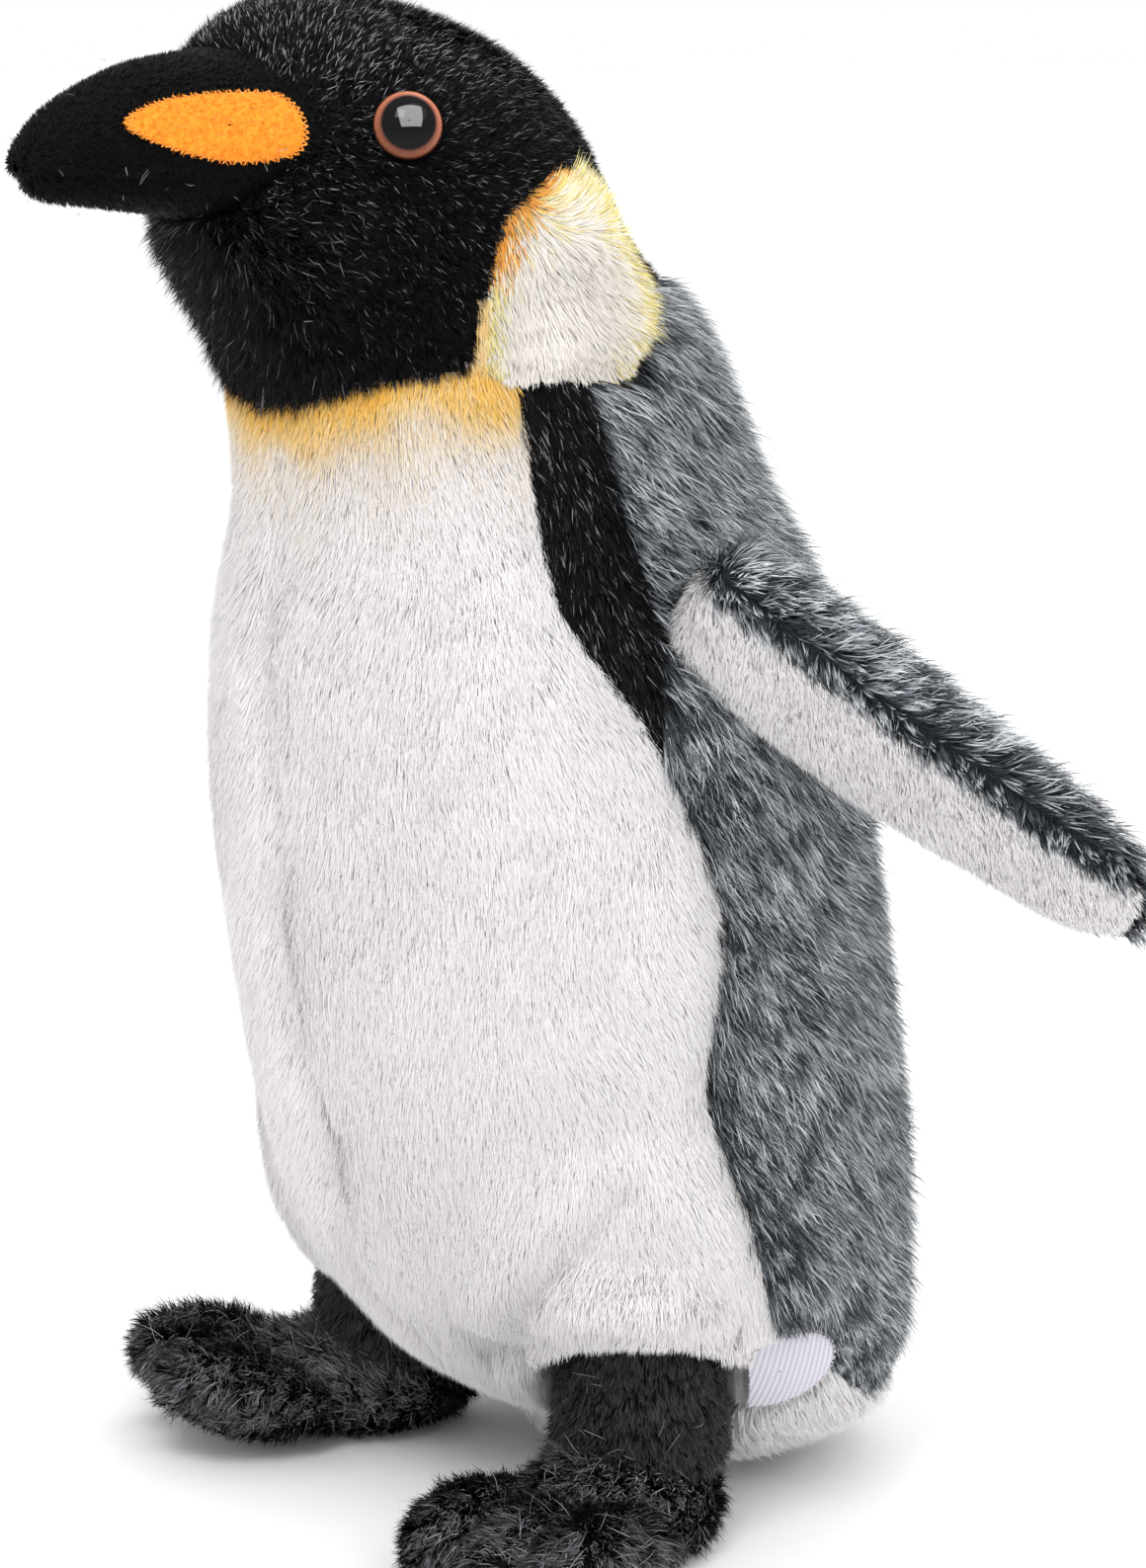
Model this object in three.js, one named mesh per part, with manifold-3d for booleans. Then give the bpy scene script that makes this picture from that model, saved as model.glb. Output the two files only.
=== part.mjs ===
// A standing plush penguin: long and short pile fabric sewn over stuffing, safety eyes,
// flippers and legs that flex at their seams. Millimetres, +Z up, beak towards -Y,
// the toy's own left side towards +X, floor contact at z = 0.
import * as THREE from "three";
import Module from "manifold-3d";
import { mergeVertices } from "three/addons/utils/BufferGeometryUtils.js";

const wasm = await Module();
wasm.setup();

// ---------------------------------------------------------------- driving dimensions
const SEAM_GAP = 0.4; // left between neighbouring pieces
const BODY_PLUSH = 3; // backing and half the pile of the body fabric
const LIMB_PLUSH = 2.2; // the shorter pile on beak, legs, feet and flippers
const BODY_HEIGHT = 260; // floor to crown
const BASE_EDGE = 12; // height of the seam round the underside
const ROUNDNESS = 2.3; // 2 rounds an end off as an ellipse, more makes it fuller
const CROWN_RISE = 39; // part of the height that the crown rounds off over

// The stuffed body from the floor to the head: height, centre, half width, half depth.
const BODY = [
  { at: 0, y: 8, w: 16, d: 16 },
  { at: 5, y: 12, w: 28, d: 25 },
  { at: 14, y: 14, w: 42, d: 36 },
  { at: 24, y: 6, w: 48, d: 44 },
  { at: 37, y: -1, w: 52.5, d: 49.5 },
  { at: 73, y: -10, w: 57.5, d: 54.5 },
  { at: 113, y: -17, w: 58, d: 55 },
  { at: 153, y: -21.5, w: 53, d: 51 },
  { at: 183, y: -27, w: 43, d: 42.5 },
  { at: 207, y: -37, w: 39, d: 39.8 },
  { at: 221, y: -46, w: 37, d: 38.5 },
  { at: 240, y: -52, w: 36.5, d: 38 },
  { at: BODY_HEIGHT, y: -59, w: 34, d: 37 },
];

// The beak, measured forwards from its root inside the head; y is its centre height.
const BEAK_ROOT = { y: -72, z: 238.5 };
const BEAK = [
  { at: 0, y: 0, w: 27, d: 13.8 },
  { at: 12, y: -0.2, w: 20, d: 13.2 },
  { at: 26, y: -0.7, w: 13, d: 11.2 },
  { at: 37, y: -2.5, w: 8.5, d: 8.2 },
  { at: 45.5, y: -5, w: 6.5, d: 5.5 },
];
const MOUTH_HEIGHT = 231.5;

// A flipper from its shoulder to its tip: half chord w, half thickness d.
const WING_LENGTH = 88;
const WING = [
  { at: 0, w: 13, d: 6 },
  { at: 22, w: 14.5, d: 6.4 },
  { at: 58, w: 13.2, d: 5.4 },
  { at: WING_LENGTH, w: 9.5, d: 4 },
];
const SHOULDER = new THREE.Vector3(55.5, -28.1, 166.5);
const WING_AXIS = new THREE.Vector3(0.61, 0.56, -0.58).normalize();
const SHOULDER_GAP = 3; // room for the flipper to flex at its seam
const WING_CHORD = new THREE.Vector3(0.7, -0.05, 0.71);

// Legs and feet.
const HIP = new THREE.Vector3(38, -23, 34);
const LEG_RADIUS = 14.5;
const SOCKET_RADIUS = 15.4; // the trouser end that the leg is sewn into
const CUFF_RADIUS = 20.5;
const CUFF_RIM = 36;
const THIGH_TOP = 82;
const FOOT_HEIGHT = 19;
const SOLE = 3;
const FOOT_SPLAY = THREE.MathUtils.degToRad(20);

// Eyes: a domed front on a ribbed shank, held by a washer inside the head.
const EYE_AT = new THREE.Vector3(31.5, -64.8, 239.8);
const EYE_LOOK = new THREE.Vector3(0.84, -0.48, 0.25).normalize();
const EYE_RADIUS = 6;
const EYE_DOME = 4.2;
const SHANK_RADIUS = 2;
const SHANK_LENGTH = 13;
const WASHER_RADIUS = 6;
const WASHER_BACK = -11; // along the eye's own axis, measured outwards from its rim
const WASHER_FRONT = -9.6;

// ---------------------------------------------------------------- solids
// A closed manifold-3d solid of a three.js geometry.
function solidOf(geometry) {
  const bare = geometry.clone();
  bare.deleteAttribute("normal");
  bare.deleteAttribute("uv");
  const merged = mergeVertices(bare, 1e-4);
  const index = merged.index.array;
  const triVerts = [];
  for (let i = 0; i < index.length; i += 3) {
    const [a, b, c] = [index[i], index[i + 1], index[i + 2]];
    if (a !== b && b !== c && c !== a) triVerts.push(a, b, c);
  }
  return new wasm.Manifold(
    new wasm.Mesh({
      numProp: 3,
      vertProperties: merged.getAttribute("position").array,
      triVerts: new Uint32Array(triVerts),
    }),
  );
}

function geometryOf(solid) {
  const mesh = solid.getMesh();
  const geometry = new THREE.BufferGeometry();
  const position = new THREE.BufferAttribute(new Float32Array(mesh.vertProperties), 3);
  geometry.setAttribute("position", position);
  geometry.setIndex(new THREE.BufferAttribute(new Uint32Array(mesh.triVerts), 1));
  const faceted = geometry.toNonIndexed();
  faceted.computeVertexNormals();
  return faceted;
}

// The station at a height, smoothly between the given ones.
function smoothStation(stations) {
  const heights = stations.map((s) => s.at);
  const values = stations.flatMap((s) => [s.y ?? 0, s.w, s.d]);
  const curve = new THREE.CubicInterpolant(heights, values, 3);
  return (height) => {
    const [y, w, d] = curve.evaluate(height);
    return { y, w, d };
  };
}

// 1 along the middle of a shape, falling to 0 in a full quarter round over each rounded end.
function fullness(height, low, high, roundLow, roundHigh) {
  let short = 0;
  if (height < low + roundLow) short = (low + roundLow - height) / roundLow;
  if (height > high - roundHigh) short = (height - high + roundHigh) / roundHigh;
  return Math.max(0, 1 - short ** ROUNDNESS) ** (1 / ROUNDNESS);
}

// A stuffed shape along +Z: a lathe whose rings are moved and scaled to the stations.
// Inset draws the whole surface in by a fabric's thickness.
function stuffed(stations, { roundLow = 0, roundHigh = 0, rings = 10, around = 20, inset = 0 }) {
  const low = stations[0].at;
  const high = stations.at(-1).at;
  const profile = [];
  if (roundLow === 0) profile.push(new THREE.Vector2(0, low));
  for (let i = 0; i <= rings; i++) {
    const height = low + ((high - low) * (1 - Math.cos((Math.PI * i) / rings))) / 2;
    profile.push(new THREE.Vector2(fullness(height, low, high, roundLow, roundHigh), height));
  }
  if (roundHigh === 0) profile.push(new THREE.Vector2(0, high));
  const geometry = new THREE.LatheGeometry(profile, around).rotateX(Math.PI / 2);
  const station = smoothStation(stations);
  const shrink = (high - low - 2 * inset) / (high - low);
  const position = geometry.getAttribute("position");
  for (let i = 0; i < position.count; i++) {
    const height = THREE.MathUtils.clamp(position.getZ(i), low, high);
    const { y, w, d } = station(height);
    position.setXYZ(
      i,
      position.getX(i) * (w - inset),
      y + position.getY(i) * (d - inset),
      low + inset + (height - low) * shrink,
    );
  }
  return solidOf(geometry);
}

function bodySolid(inset) {
  return stuffed(BODY, { roundHigh: CROWN_RISE, rings: 16, around: 32, inset });
}

// A side view outline (points are y, z) made solid from x = from to x = to.
function sideCut(points, from, to) {
  const shape = new THREE.Shape(points.map(([y, z]) => new THREE.Vector2(y, z)));
  const geometry = new THREE.ExtrudeGeometry(shape, { depth: to - from, bevelEnabled: false });
  // shape x, y and depth become the toy's y, z and x
  const turn = new THREE.Matrix4().makeBasis(
    new THREE.Vector3(0, 1, 0),
    new THREE.Vector3(0, 0, 1),
    new THREE.Vector3(1, 0, 0),
  );
  geometry.applyMatrix4(turn).translate(from, 0, 0);
  return solidOf(geometry);
}

// Points along a smooth line through the few given ones.
function curved(points, pieces = 14) {
  const line = new THREE.SplineCurve(points.map(([a, b]) => new THREE.Vector2(a, b)));
  return line.getPoints(pieces).map((p) => [p.x, p.y]);
}

// ---------------------------------------------------------------- seam lines, side view
const FAR = 120; // beyond the toy on every side
// lower edge of the black head, from the throat back to the cheek
const THROAT_LINE = [[-FAR, 192], [-75, 193.5], [-66, 199], [-54, 202]];
// front edge of the side stripe, running on as the belly edge down to the trouser
const BELLY_LINE = curved(
  [
    [-47.5, 202], [-44.5, 177], [-42.4, 160.8], [-29.5, 138.2],
    [-22, 112], [-23.4, 86], [-19.5, 70], [-15.4, 57.5], [-10, 44], [-7, 34], [-6, 20],
  ],
  30,
);
const STRIPE_END = [-29.5, 138.2];
const STRIPE_BACK = curved(
  [STRIPE_END, [-30.5, 165], [-32.4, 181], [-36.5, 198], [-38.5, 206]],
  8,
);
const NAPE = 213; // the black of the head ends here behind
// cream patch behind the cheek
const EAR_OUTLINE = curved(
  [
    [-51, 200.6], [-52.5, 214], [-48, 227], [-36, 231], [-24, 225],
    [-18.5, 215], [-23, 205], [-28, 199.5], [-40, 200], [-51, 200.6],
  ],
  24,
).slice(0, -1);
// where the grey back ends and the white underside begins
const BASE_LINE = [
  [-FAR, BASE_EDGE], [-26, BASE_EDGE], [-12, 34.5], [0, 34.5], [22, 18], [FAR, BASE_EDGE],
];

// The wall of body fabric between two heights of stuffing, on one side of the middle.
const bodyWall = bodySolid(0).subtract(bodySolid(BODY_PLUSH));
const half = SEAM_GAP / 2;
const LOW = 10; // below the seam round the underside

function leftOf(points) {
  return bodyWall.intersect(sideCut(points, half, FAR));
}

// The head and the belly stop here, behind the cheek and under the cream patch.
const CHEEK = { y: -54, z: NAPE + 0.6 };
const headOutline = [
  ...THROAT_LINE.map(([y, z]) => [y, z + half]),
  [CHEEK.y - half, CHEEK.z],
  [-24, NAPE],
  [FAR, NAPE],
  [FAR, 300],
  [-FAR, 300],
];
const bellyOutline = [
  ...THROAT_LINE.map(([y, z]) => [y + half, z - SEAM_GAP]),
  [CHEEK.y + half, CHEEK.z - 2 * SEAM_GAP],
  [-48, CHEEK.z - 2 * SEAM_GAP],
  ...BELLY_LINE.map(([y, z]) => [y - half, z]),
  [-6 - half, LOW],
  [-FAR, LOW],
];
const stripeOutline = [
  ...BELLY_LINE.filter(([, z]) => z > STRIPE_END[1]).map(([y, z]) => [y + half, z]),
  STRIPE_END,
  ...STRIPE_BACK.slice(1).map(([y, z]) => [y - half, z]),
];
const backOutline = [
  ...[...STRIPE_BACK].reverse().map(([y, z]) => [y + half, z]),
  ...BELLY_LINE.filter(([, z]) => z < STRIPE_END[1]).map(([y, z]) => [y + half, z]),
  [-6 + half, LOW],
  [FAR, LOW],
  [FAR, NAPE - SEAM_GAP],
  [-34, NAPE - SEAM_GAP],
];
// The cream patch is let into its neighbours with a seam's gap all round.
const EAR_CENTRE = { y: -37, z: 214 };
const EAR_HALF = { y: 18, z: 14 };
const EAR_FROM = 10; // the patch begins this far out from the middle of the head
const earHole = sideCut(
  EAR_OUTLINE.map(([y, z]) => [
    y + (SEAM_GAP / EAR_HALF.y) * (y - EAR_CENTRE.y),
    z + (SEAM_GAP / EAR_HALF.z) * (z - EAR_CENTRE.z),
  ]),
  EAR_FROM,
  FAR,
);

// ---------------------------------------------------------------- legs and trousers
const TOES = [-12.5, 0, 12.5]; // sideways places of the three stuffed toes

// A ball squashed to three half sizes.
function pillow(centre, halfSizes, inset, around = 12) {
  const [a, b, c] = halfSizes.map((size) => size - inset);
  return solidOf(new THREE.SphereGeometry(1, around, around / 2)).scale([a, b, c]).translate(centre);
}

// The whole stuffed foot in the frame of its own ankle: instep, toes, flat sole.
function footSolid(inset) {
  const instep = pillow([0, -8, 8], [16.5, 22, FOOT_HEIGHT - 8], inset);
  const toes = TOES.map((x) => {
    const reach = x === 0 ? 19 : 17;
    return pillow([x, -31, 6.5], [8.6, reach, 8.5], inset);
  });
  const floor = wasm.Manifold.cube([FAR, 2 * FAR, FAR], true).translate([0, 0, inset + FAR / 2]);
  return toes.reduce((foot, toe) => foot.add(toe), instep).intersect(floor);
}

function atAnkle(solid) {
  return solid
    .rotate([0, 0, THREE.MathUtils.radToDeg(FOOT_SPLAY)])
    .translate([HIP.x, HIP.y, 0]);
}

function footParts() {
  const outer = footSolid(0);
  const inner = footSolid(LIMB_PLUSH);
  const slab = wasm.Manifold.cube([FAR * 2, FAR * 2, SOLE], true).translate([0, 0, SOLE / 2]);
  const above = wasm.Manifold.cube([FAR * 2, FAR * 2, FAR], true)
    .translate([0, 0, SOLE + SEAM_GAP + FAR / 2]);
  return {
    upper: atAnkle(outer.subtract(inner).intersect(above)),
    sole: atAnkle(outer.intersect(slab)),
    stuffing: atAnkle(footSolid(LIMB_PLUSH + SEAM_GAP).intersect(above)),
  };
}

// The leg is a tube with a domed top that sits in the trouser like a ball in a cup.
function legSolid(inset) {
  const radius = LEG_RADIUS - inset;
  const profile = [new THREE.Vector2(0, FOOT_HEIGHT + SEAM_GAP)];
  profile.push(new THREE.Vector2(radius, FOOT_HEIGHT + SEAM_GAP));
  for (let i = 0; i <= 4; i++) {
    const angle = (i * Math.PI) / 8;
    profile.push(new THREE.Vector2(radius * Math.cos(angle), HIP.z + radius * Math.sin(angle)));
  }
  const geometry = new THREE.LatheGeometry(profile, 20).rotateX(Math.PI / 2);
  return solidOf(geometry).translate([HIP.x, HIP.y, 0]);
}

function thighSolid(grow) {
  const stations = [
    { at: CUFF_RIM - grow, y: 0, w: CUFF_RADIUS - 1 + grow, d: CUFF_RADIUS - 1 + grow },
    { at: 46, y: -0.5, w: CUFF_RADIUS + grow, d: CUFF_RADIUS + 1 + grow },
    { at: 60, y: -2, w: CUFF_RADIUS - 4.5 + grow, d: CUFF_RADIUS - 3 + grow },
    { at: THIGH_TOP + grow, y: -4, w: 9 + grow, d: 10 + grow },
  ];
  return stuffed(stations, { roundHigh: 26, rings: 8, around: 22 }).translate([HIP.x, HIP.y, 0]);
}

const socket = solidOf(new THREE.SphereGeometry(SOCKET_RADIUS, 20, 12))
  .translate([HIP.x, HIP.y, HIP.z]);

// Space under the trouser that leg and foot swing through.
function legRoom() {
  const shape = new THREE.Shape();
  shape.moveTo(19, -90);
  shape.lineTo(19, -12);
  shape.quadraticCurveTo(20, 2, 34, 2);
  shape.quadraticCurveTo(60, 2, 62, -14);
  shape.lineTo(90, -90);
  const geometry = new THREE.ExtrudeGeometry(shape, { depth: CUFF_RIM, bevelEnabled: false });
  return solidOf(geometry.translate(0, 0, -SEAM_GAP));
}

// ---------------------------------------------------------------- eyes
const eyeTurn = new THREE.Quaternion().setFromUnitVectors(new THREE.Vector3(0, 0, 1), EYE_LOOK);
const eyeFrame = new THREE.Matrix4().makeRotationFromQuaternion(eyeTurn).setPosition(EYE_AT);

// A lathe standing on the eye's own axis; profile points are radius, distance outwards.
function onEyeAxis(points) {
  const profile = points.map(([r, out]) => new THREE.Vector2(r, out));
  const geometry = new THREE.LatheGeometry(profile, 18).rotateX(Math.PI / 2);
  return solidOf(geometry.applyMatrix4(eyeFrame));
}

function eyeSolid() {
  const dome = [];
  for (let i = 0; i <= 4; i++) {
    const angle = (i * Math.PI) / 8;
    dome.push([EYE_RADIUS * Math.cos(angle), EYE_DOME * Math.sin(angle)]);
  }
  return onEyeAxis([
    [0, -SHANK_LENGTH],
    [SHANK_RADIUS, -SHANK_LENGTH],
    [SHANK_RADIUS, -1.2],
    [EYE_RADIUS, -1.2],
    ...dome,
  ]);
}

function washerSolid() {
  const hole = SHANK_RADIUS + 0.3;
  return onEyeAxis([
    [hole, WASHER_BACK],
    [WASHER_RADIUS, WASHER_BACK],
    [WASHER_RADIUS, WASHER_FRONT],
    [hole, WASHER_FRONT],
    [hole, WASHER_BACK],
  ]);
}

// Room in the fabric and the stuffing for the eye and its washer.
const eyeRoom = onEyeAxis([
  [0, -SHANK_LENGTH - 0.6],
  [SHANK_RADIUS + 0.4, -SHANK_LENGTH - 0.6],
  [SHANK_RADIUS + 0.4, -1.6],
  [EYE_RADIUS + 0.4, -1.6],
  [EYE_RADIUS + 0.4, 8],
  [0, 8],
]);
const washerRoom = onEyeAxis([
  [0, WASHER_BACK - 0.5],
  [WASHER_RADIUS + 0.5, WASHER_BACK - 0.5],
  [WASHER_RADIUS + 0.5, WASHER_FRONT + 0.5],
  [0, WASHER_FRONT + 0.5],
]);

// ---------------------------------------------------------------- beak
const beakTurn = new THREE.Matrix4()
  .makeBasis(new THREE.Vector3(1, 0, 0), new THREE.Vector3(0, 0, 1), new THREE.Vector3(0, -1, 0))
  .setPosition(0, BEAK_ROOT.y, BEAK_ROOT.z);

function beakSolid(inset) {
  const rootward = stuffed(BEAK, { roundHigh: 9, rings: 10, around: 20, inset });
  return rootward.transform(beakTurn.elements);
}

const headWithRoom = bodySolid(-SEAM_GAP);
const mouth = wasm.Manifold.cube([FAR, FAR, SEAM_GAP], true).translate([0, -FAR, MOUTH_HEIGHT]);
const beakWall = beakSolid(0)
  .subtract(beakSolid(LIMB_PLUSH))
  .subtract(headWithRoom)
  .subtract(mouth);
const PATCH_THICK = 1;
const GLUE_GAP = 0.3; // between a sewn-on piece and the fabric under it

function beakPatch() {
  const felt = beakSolid(-PATCH_THICK - GLUE_GAP).subtract(beakSolid(-GLUE_GAP));
  const outline = curved(
    [
      [-103.3, 240.4], [-97, 243.9], [-87.5, 245.1], [-78, 244.4], [-75.5, 240],
      [-77, 235.6], [-88, 234.4], [-97, 236.6], [-103.3, 240.4],
    ],
    24,
  );
  return felt.subtract(headWithRoom).intersect(sideCut(outline.slice(0, -1), 4, FAR));
}

// ---------------------------------------------------------------- flippers
const wingOut = new THREE.Vector3().crossVectors(WING_AXIS, WING_CHORD).normalize();
const wingChord = new THREE.Vector3().crossVectors(wingOut, WING_AXIS).normalize();
const wingTurn = new THREE.Matrix4()
  .makeBasis(wingChord, wingOut, WING_AXIS)
  .setPosition(SHOULDER);

function wingParts() {
  const shape = { roundLow: 7, roundHigh: 15, rings: 10, around: 18 };
  const outer = stuffed(WING, shape);
  const wall = outer.subtract(stuffed(WING, { ...shape, inset: LIMB_PLUSH }));
  const beyond = wasm.Manifold.cube([FAR, FAR, 3 * FAR], true);
  const upper = beyond.translate([0, half + FAR / 2, 0]);
  const lower = beyond.translate([0, -half - FAR / 2, 0]);
  const stuffing = stuffed(WING, { ...shape, inset: LIMB_PLUSH + SEAM_GAP });
  const flank = bodySolid(-SHOULDER_GAP);
  const onShoulder = (solid) => solid.transform(wingTurn.elements).subtract(flank);
  return {
    outer: onShoulder(wall.intersect(lower)),
    inner: onShoulder(wall.intersect(upper)),
    stuffing: onShoulder(stuffing),
  };
}

// ---------------------------------------------------------------- the left side's pieces
const room = legRoom();
const thighRoom = thighSolid(SEAM_GAP);
const baseRegion = sideCut([...BASE_LINE, [FAR, -10], [-FAR, -10]], -FAR, FAR);
const aboveBase = sideCut(
  [...BASE_LINE.map(([y, z]) => [y, z + SEAM_GAP]), [FAR, 300], [-FAR, 300]],
  -FAR,
  FAR,
);

function mirrored(solid) {
  return solid.mirror([1, 0, 0]);
}

function cutLegs(solid) {
  const rooms = [room, thighRoom, mirrored(room), mirrored(thighRoom)];
  return rooms.reduce((rest, cut) => rest.subtract(cut), solid);
}

// The scrap of belly fabric that the trouser end cuts off is left out.
function mainPiece(solid) {
  return solid.decompose().reduce((most, next) => (next.volume() > most.volume() ? next : most));
}

const beakSeat = beakSolid(-SEAM_GAP);
const left = {
  head_side: leftOf(headOutline).subtract(earHole).subtract(beakSeat).subtract(eyeRoom),
  ear_patch: bodyWall.intersect(sideCut(EAR_OUTLINE, EAR_FROM, FAR)),
  belly: mainPiece(cutLegs(leftOf(bellyOutline).intersect(aboveBase)).subtract(earHole)),
  side_stripe: leftOf(stripeOutline).subtract(earHole),
  thigh: thighSolid(0).subtract(socket),
};
const back = cutLegs(bodyWall.intersect(sideCut(backOutline, -FAR, FAR)).intersect(aboveBase))
  .subtract(earHole)
  .subtract(mirrored(earHole));
const basePanel = cutLegs(bodyWall.intersect(baseRegion));
// An oval cloth label on the left hip: centre and half sizes, side view.
const LABEL = { y: -3, z: 29, halfWidth: 12, halfHeight: 7.5, thick: 0.9 };
const labelWall = bodySolid(-GLUE_GAP - LABEL.thick).subtract(bodySolid(-GLUE_GAP));
const labelOutline = new THREE.Path()
  .absellipse(LABEL.y, LABEL.z, LABEL.halfWidth, LABEL.halfHeight, 0, Math.PI * 2)
  .getPoints(20)
  .slice(0, -1);
const label = labelWall
  .intersect(sideCut(labelOutline.map((p) => [p.x, p.y]), half, FAR))
  .subtract(thighRoom)
  .subtract(room);

// ---------------------------------------------------------------- inside
const bagCentre = [0, 8, 22];
const BAG = [17, 28, 21]; // half sizes
const pelletBag = pillow(bagCentre, BAG, 0, 16).intersect(bodySolid(BODY_PLUSH + SEAM_GAP));
const bagRoom = pillow(bagCentre, BAG, -SEAM_GAP, 16);
const innerEye = eyeRoom.add(washerRoom);
const bodyStuffing = cutLegs(bodySolid(BODY_PLUSH + SEAM_GAP))
  .subtract(bagRoom)
  .subtract(innerEye)
  .subtract(mirrored(innerEye))
  .subtract(beakSeat);
const beakStuffing = beakSolid(LIMB_PLUSH + SEAM_GAP).subtract(headWithRoom);

// ---------------------------------------------------------------- materials
function fabric(color) {
  return new THREE.MeshStandardMaterial({ color, roughness: 0.95, metalness: 0 });
}
const black = () => fabric(0x1d1d20);
const white = () => fabric(0xeeeae8);
const grey = () => fabric(0x5f6973);
const filling = () => fabric(0xf4f2ec);
const shiny = () => new THREE.MeshStandardMaterial({ color: 0x1a100c, roughness: 0.08, metalness: 0 });
const plastic = () => new THREE.MeshStandardMaterial({ color: 0xe8e8e6, roughness: 0.5, metalness: 0 });

// ---------------------------------------------------------------- assembly
const penguin = new THREE.Group();
penguin.name = "plush_penguin";

function addPiece(name, solid, material) {
  const mesh = new THREE.Mesh(geometryOf(solid), material);
  mesh.name = name;
  penguin.add(mesh);
}

function addPair(name, leftSolid, material) {
  addPiece(`${name}_left`, leftSolid, material());
  addPiece(`${name}_right`, mirrored(leftSolid), material());
}

addPair("head_side", left.head_side, black);
addPair("ear_patch", left.ear_patch, () => fabric(0xf1e4cf));
addPair("belly", left.belly, white);
addPair("side_stripe", left.side_stripe, black);
addPair("thigh", left.thigh, white);
addPiece("back", back, grey());
addPiece("base_panel", basePanel, white());
addPiece("base_label", label, fabric(0xd6d2dc));

const aboveMouth = [[-2 * FAR, MOUTH_HEIGHT], [0, MOUTH_HEIGHT], [0, 300], [-2 * FAR, 300]];
const beakAbove = sideCut(aboveMouth, -FAR, FAR);
addPiece("beak_upper", beakWall.intersect(beakAbove), black());
addPiece("beak_lower", beakWall.subtract(beakAbove), black());
addPair("beak_patch", beakPatch(), () => fabric(0xf79a2e));

addPair("eye", eyeSolid(), shiny);
addPair("eye_washer", washerSolid(), plastic);

const wing = wingParts();
addPair("wing_outer", wing.outer, grey);
addPair("wing_inner", wing.inner, white);
addPair("wing_stuffing", wing.stuffing, filling);

const foot = footParts();
const legFilling = legSolid(LIMB_PLUSH + SEAM_GAP);
addPair("leg", legSolid(0).subtract(legSolid(LIMB_PLUSH)), black);
addPair("leg_stuffing", legFilling, filling);
addPair("foot_upper", foot.upper, black);
addPair("foot_sole", foot.sole, black);
addPair("foot_stuffing", foot.stuffing, filling);

addPiece("body_stuffing", bodyStuffing, filling());
addPiece("beak_stuffing", beakStuffing, filling());
addPiece("pellet_bag", pelletBag, fabric(0xdcdcd8));

export default penguin;
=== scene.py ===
"""A standing plush penguin: panels of pile fabric over stuffing, a velour beak with felt
patches, safety eyes, flippers and feet. The pile is real geometry, one thin blade a fibre.
Lengths are millimetres until a mesh is made. Beak towards -Y, the toy's left towards +X."""

import dataclasses
import itertools
import math

import bpy
import numpy as np
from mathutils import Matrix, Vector


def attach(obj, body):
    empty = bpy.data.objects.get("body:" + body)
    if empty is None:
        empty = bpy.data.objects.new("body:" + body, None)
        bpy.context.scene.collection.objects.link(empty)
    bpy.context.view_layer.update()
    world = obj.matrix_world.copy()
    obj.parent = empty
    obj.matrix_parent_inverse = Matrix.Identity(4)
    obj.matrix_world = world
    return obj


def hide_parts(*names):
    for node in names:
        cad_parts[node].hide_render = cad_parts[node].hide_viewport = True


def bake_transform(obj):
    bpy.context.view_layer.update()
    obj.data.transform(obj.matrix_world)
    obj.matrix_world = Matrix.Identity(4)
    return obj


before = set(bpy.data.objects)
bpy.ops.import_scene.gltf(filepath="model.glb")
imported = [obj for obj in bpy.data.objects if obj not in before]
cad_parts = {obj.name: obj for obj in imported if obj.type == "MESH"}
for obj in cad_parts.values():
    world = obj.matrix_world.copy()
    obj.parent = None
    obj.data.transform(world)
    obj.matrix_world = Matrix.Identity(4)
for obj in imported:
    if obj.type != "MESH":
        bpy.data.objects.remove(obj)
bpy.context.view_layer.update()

MM = 0.001
FAR = 120.0  # beyond the toy on every side

# ---------------------------------------------------------------- driving dimensions
BODY_HEIGHT = 260.0
CROWN_RISE = 39.0
ROUNDNESS = 2.3  # 2 rounds an end off as an ellipse, more makes it fuller
FABRIC_INSET = 1.0  # the woven backing lies this far inside the brushed outline

# Height, centre y, half width, half depth of the stuffed body.
BODY = [
    (0, 8, 16, 16),
    (5, 12, 28, 25),
    (14, 14, 42, 36),
    (24, 6, 48, 44),
    (37, -1, 52.5, 49.5),
    (73, -10, 57.5, 54.5),
    (113, -17, 58, 55),
    (153, -21.5, 53, 51),
    (183, -27, 43, 42.5),
    (207, -37, 39, 39.8),
    (221, -46, 37, 38.5),
    (240, -52, 36.5, 38),
    (BODY_HEIGHT, -59, 34, 37),
]

# Reach from the root, rise, half width, half height of the beak.
BEAK_ROOT = (0, -72, 238.5)
BEAK = [
    (0, 0, 27, 13.8),
    (12, -0.2, 20, 13.2),
    (26, -0.7, 13, 11.2),
    (37, -2.5, 8.5, 8.2),
    (45.5, -5, 6.5, 5.5),
]
MOUTH_HEIGHT = 231.5

# Reach from the shoulder, offset, half chord, half thickness of a flipper.
WING = [(0, 0, 13, 6), (22, 0, 14.5, 6.4), (58, 0, 13.2, 5.4), (88, 0, 9.5, 4)]
SHOULDER = np.array([55.5, -28.1, 166.5])
WING_AXIS = np.array([0.61, 0.56, -0.58])
WING_CHORD = np.array([0.7, -0.05, 0.71])

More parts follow.
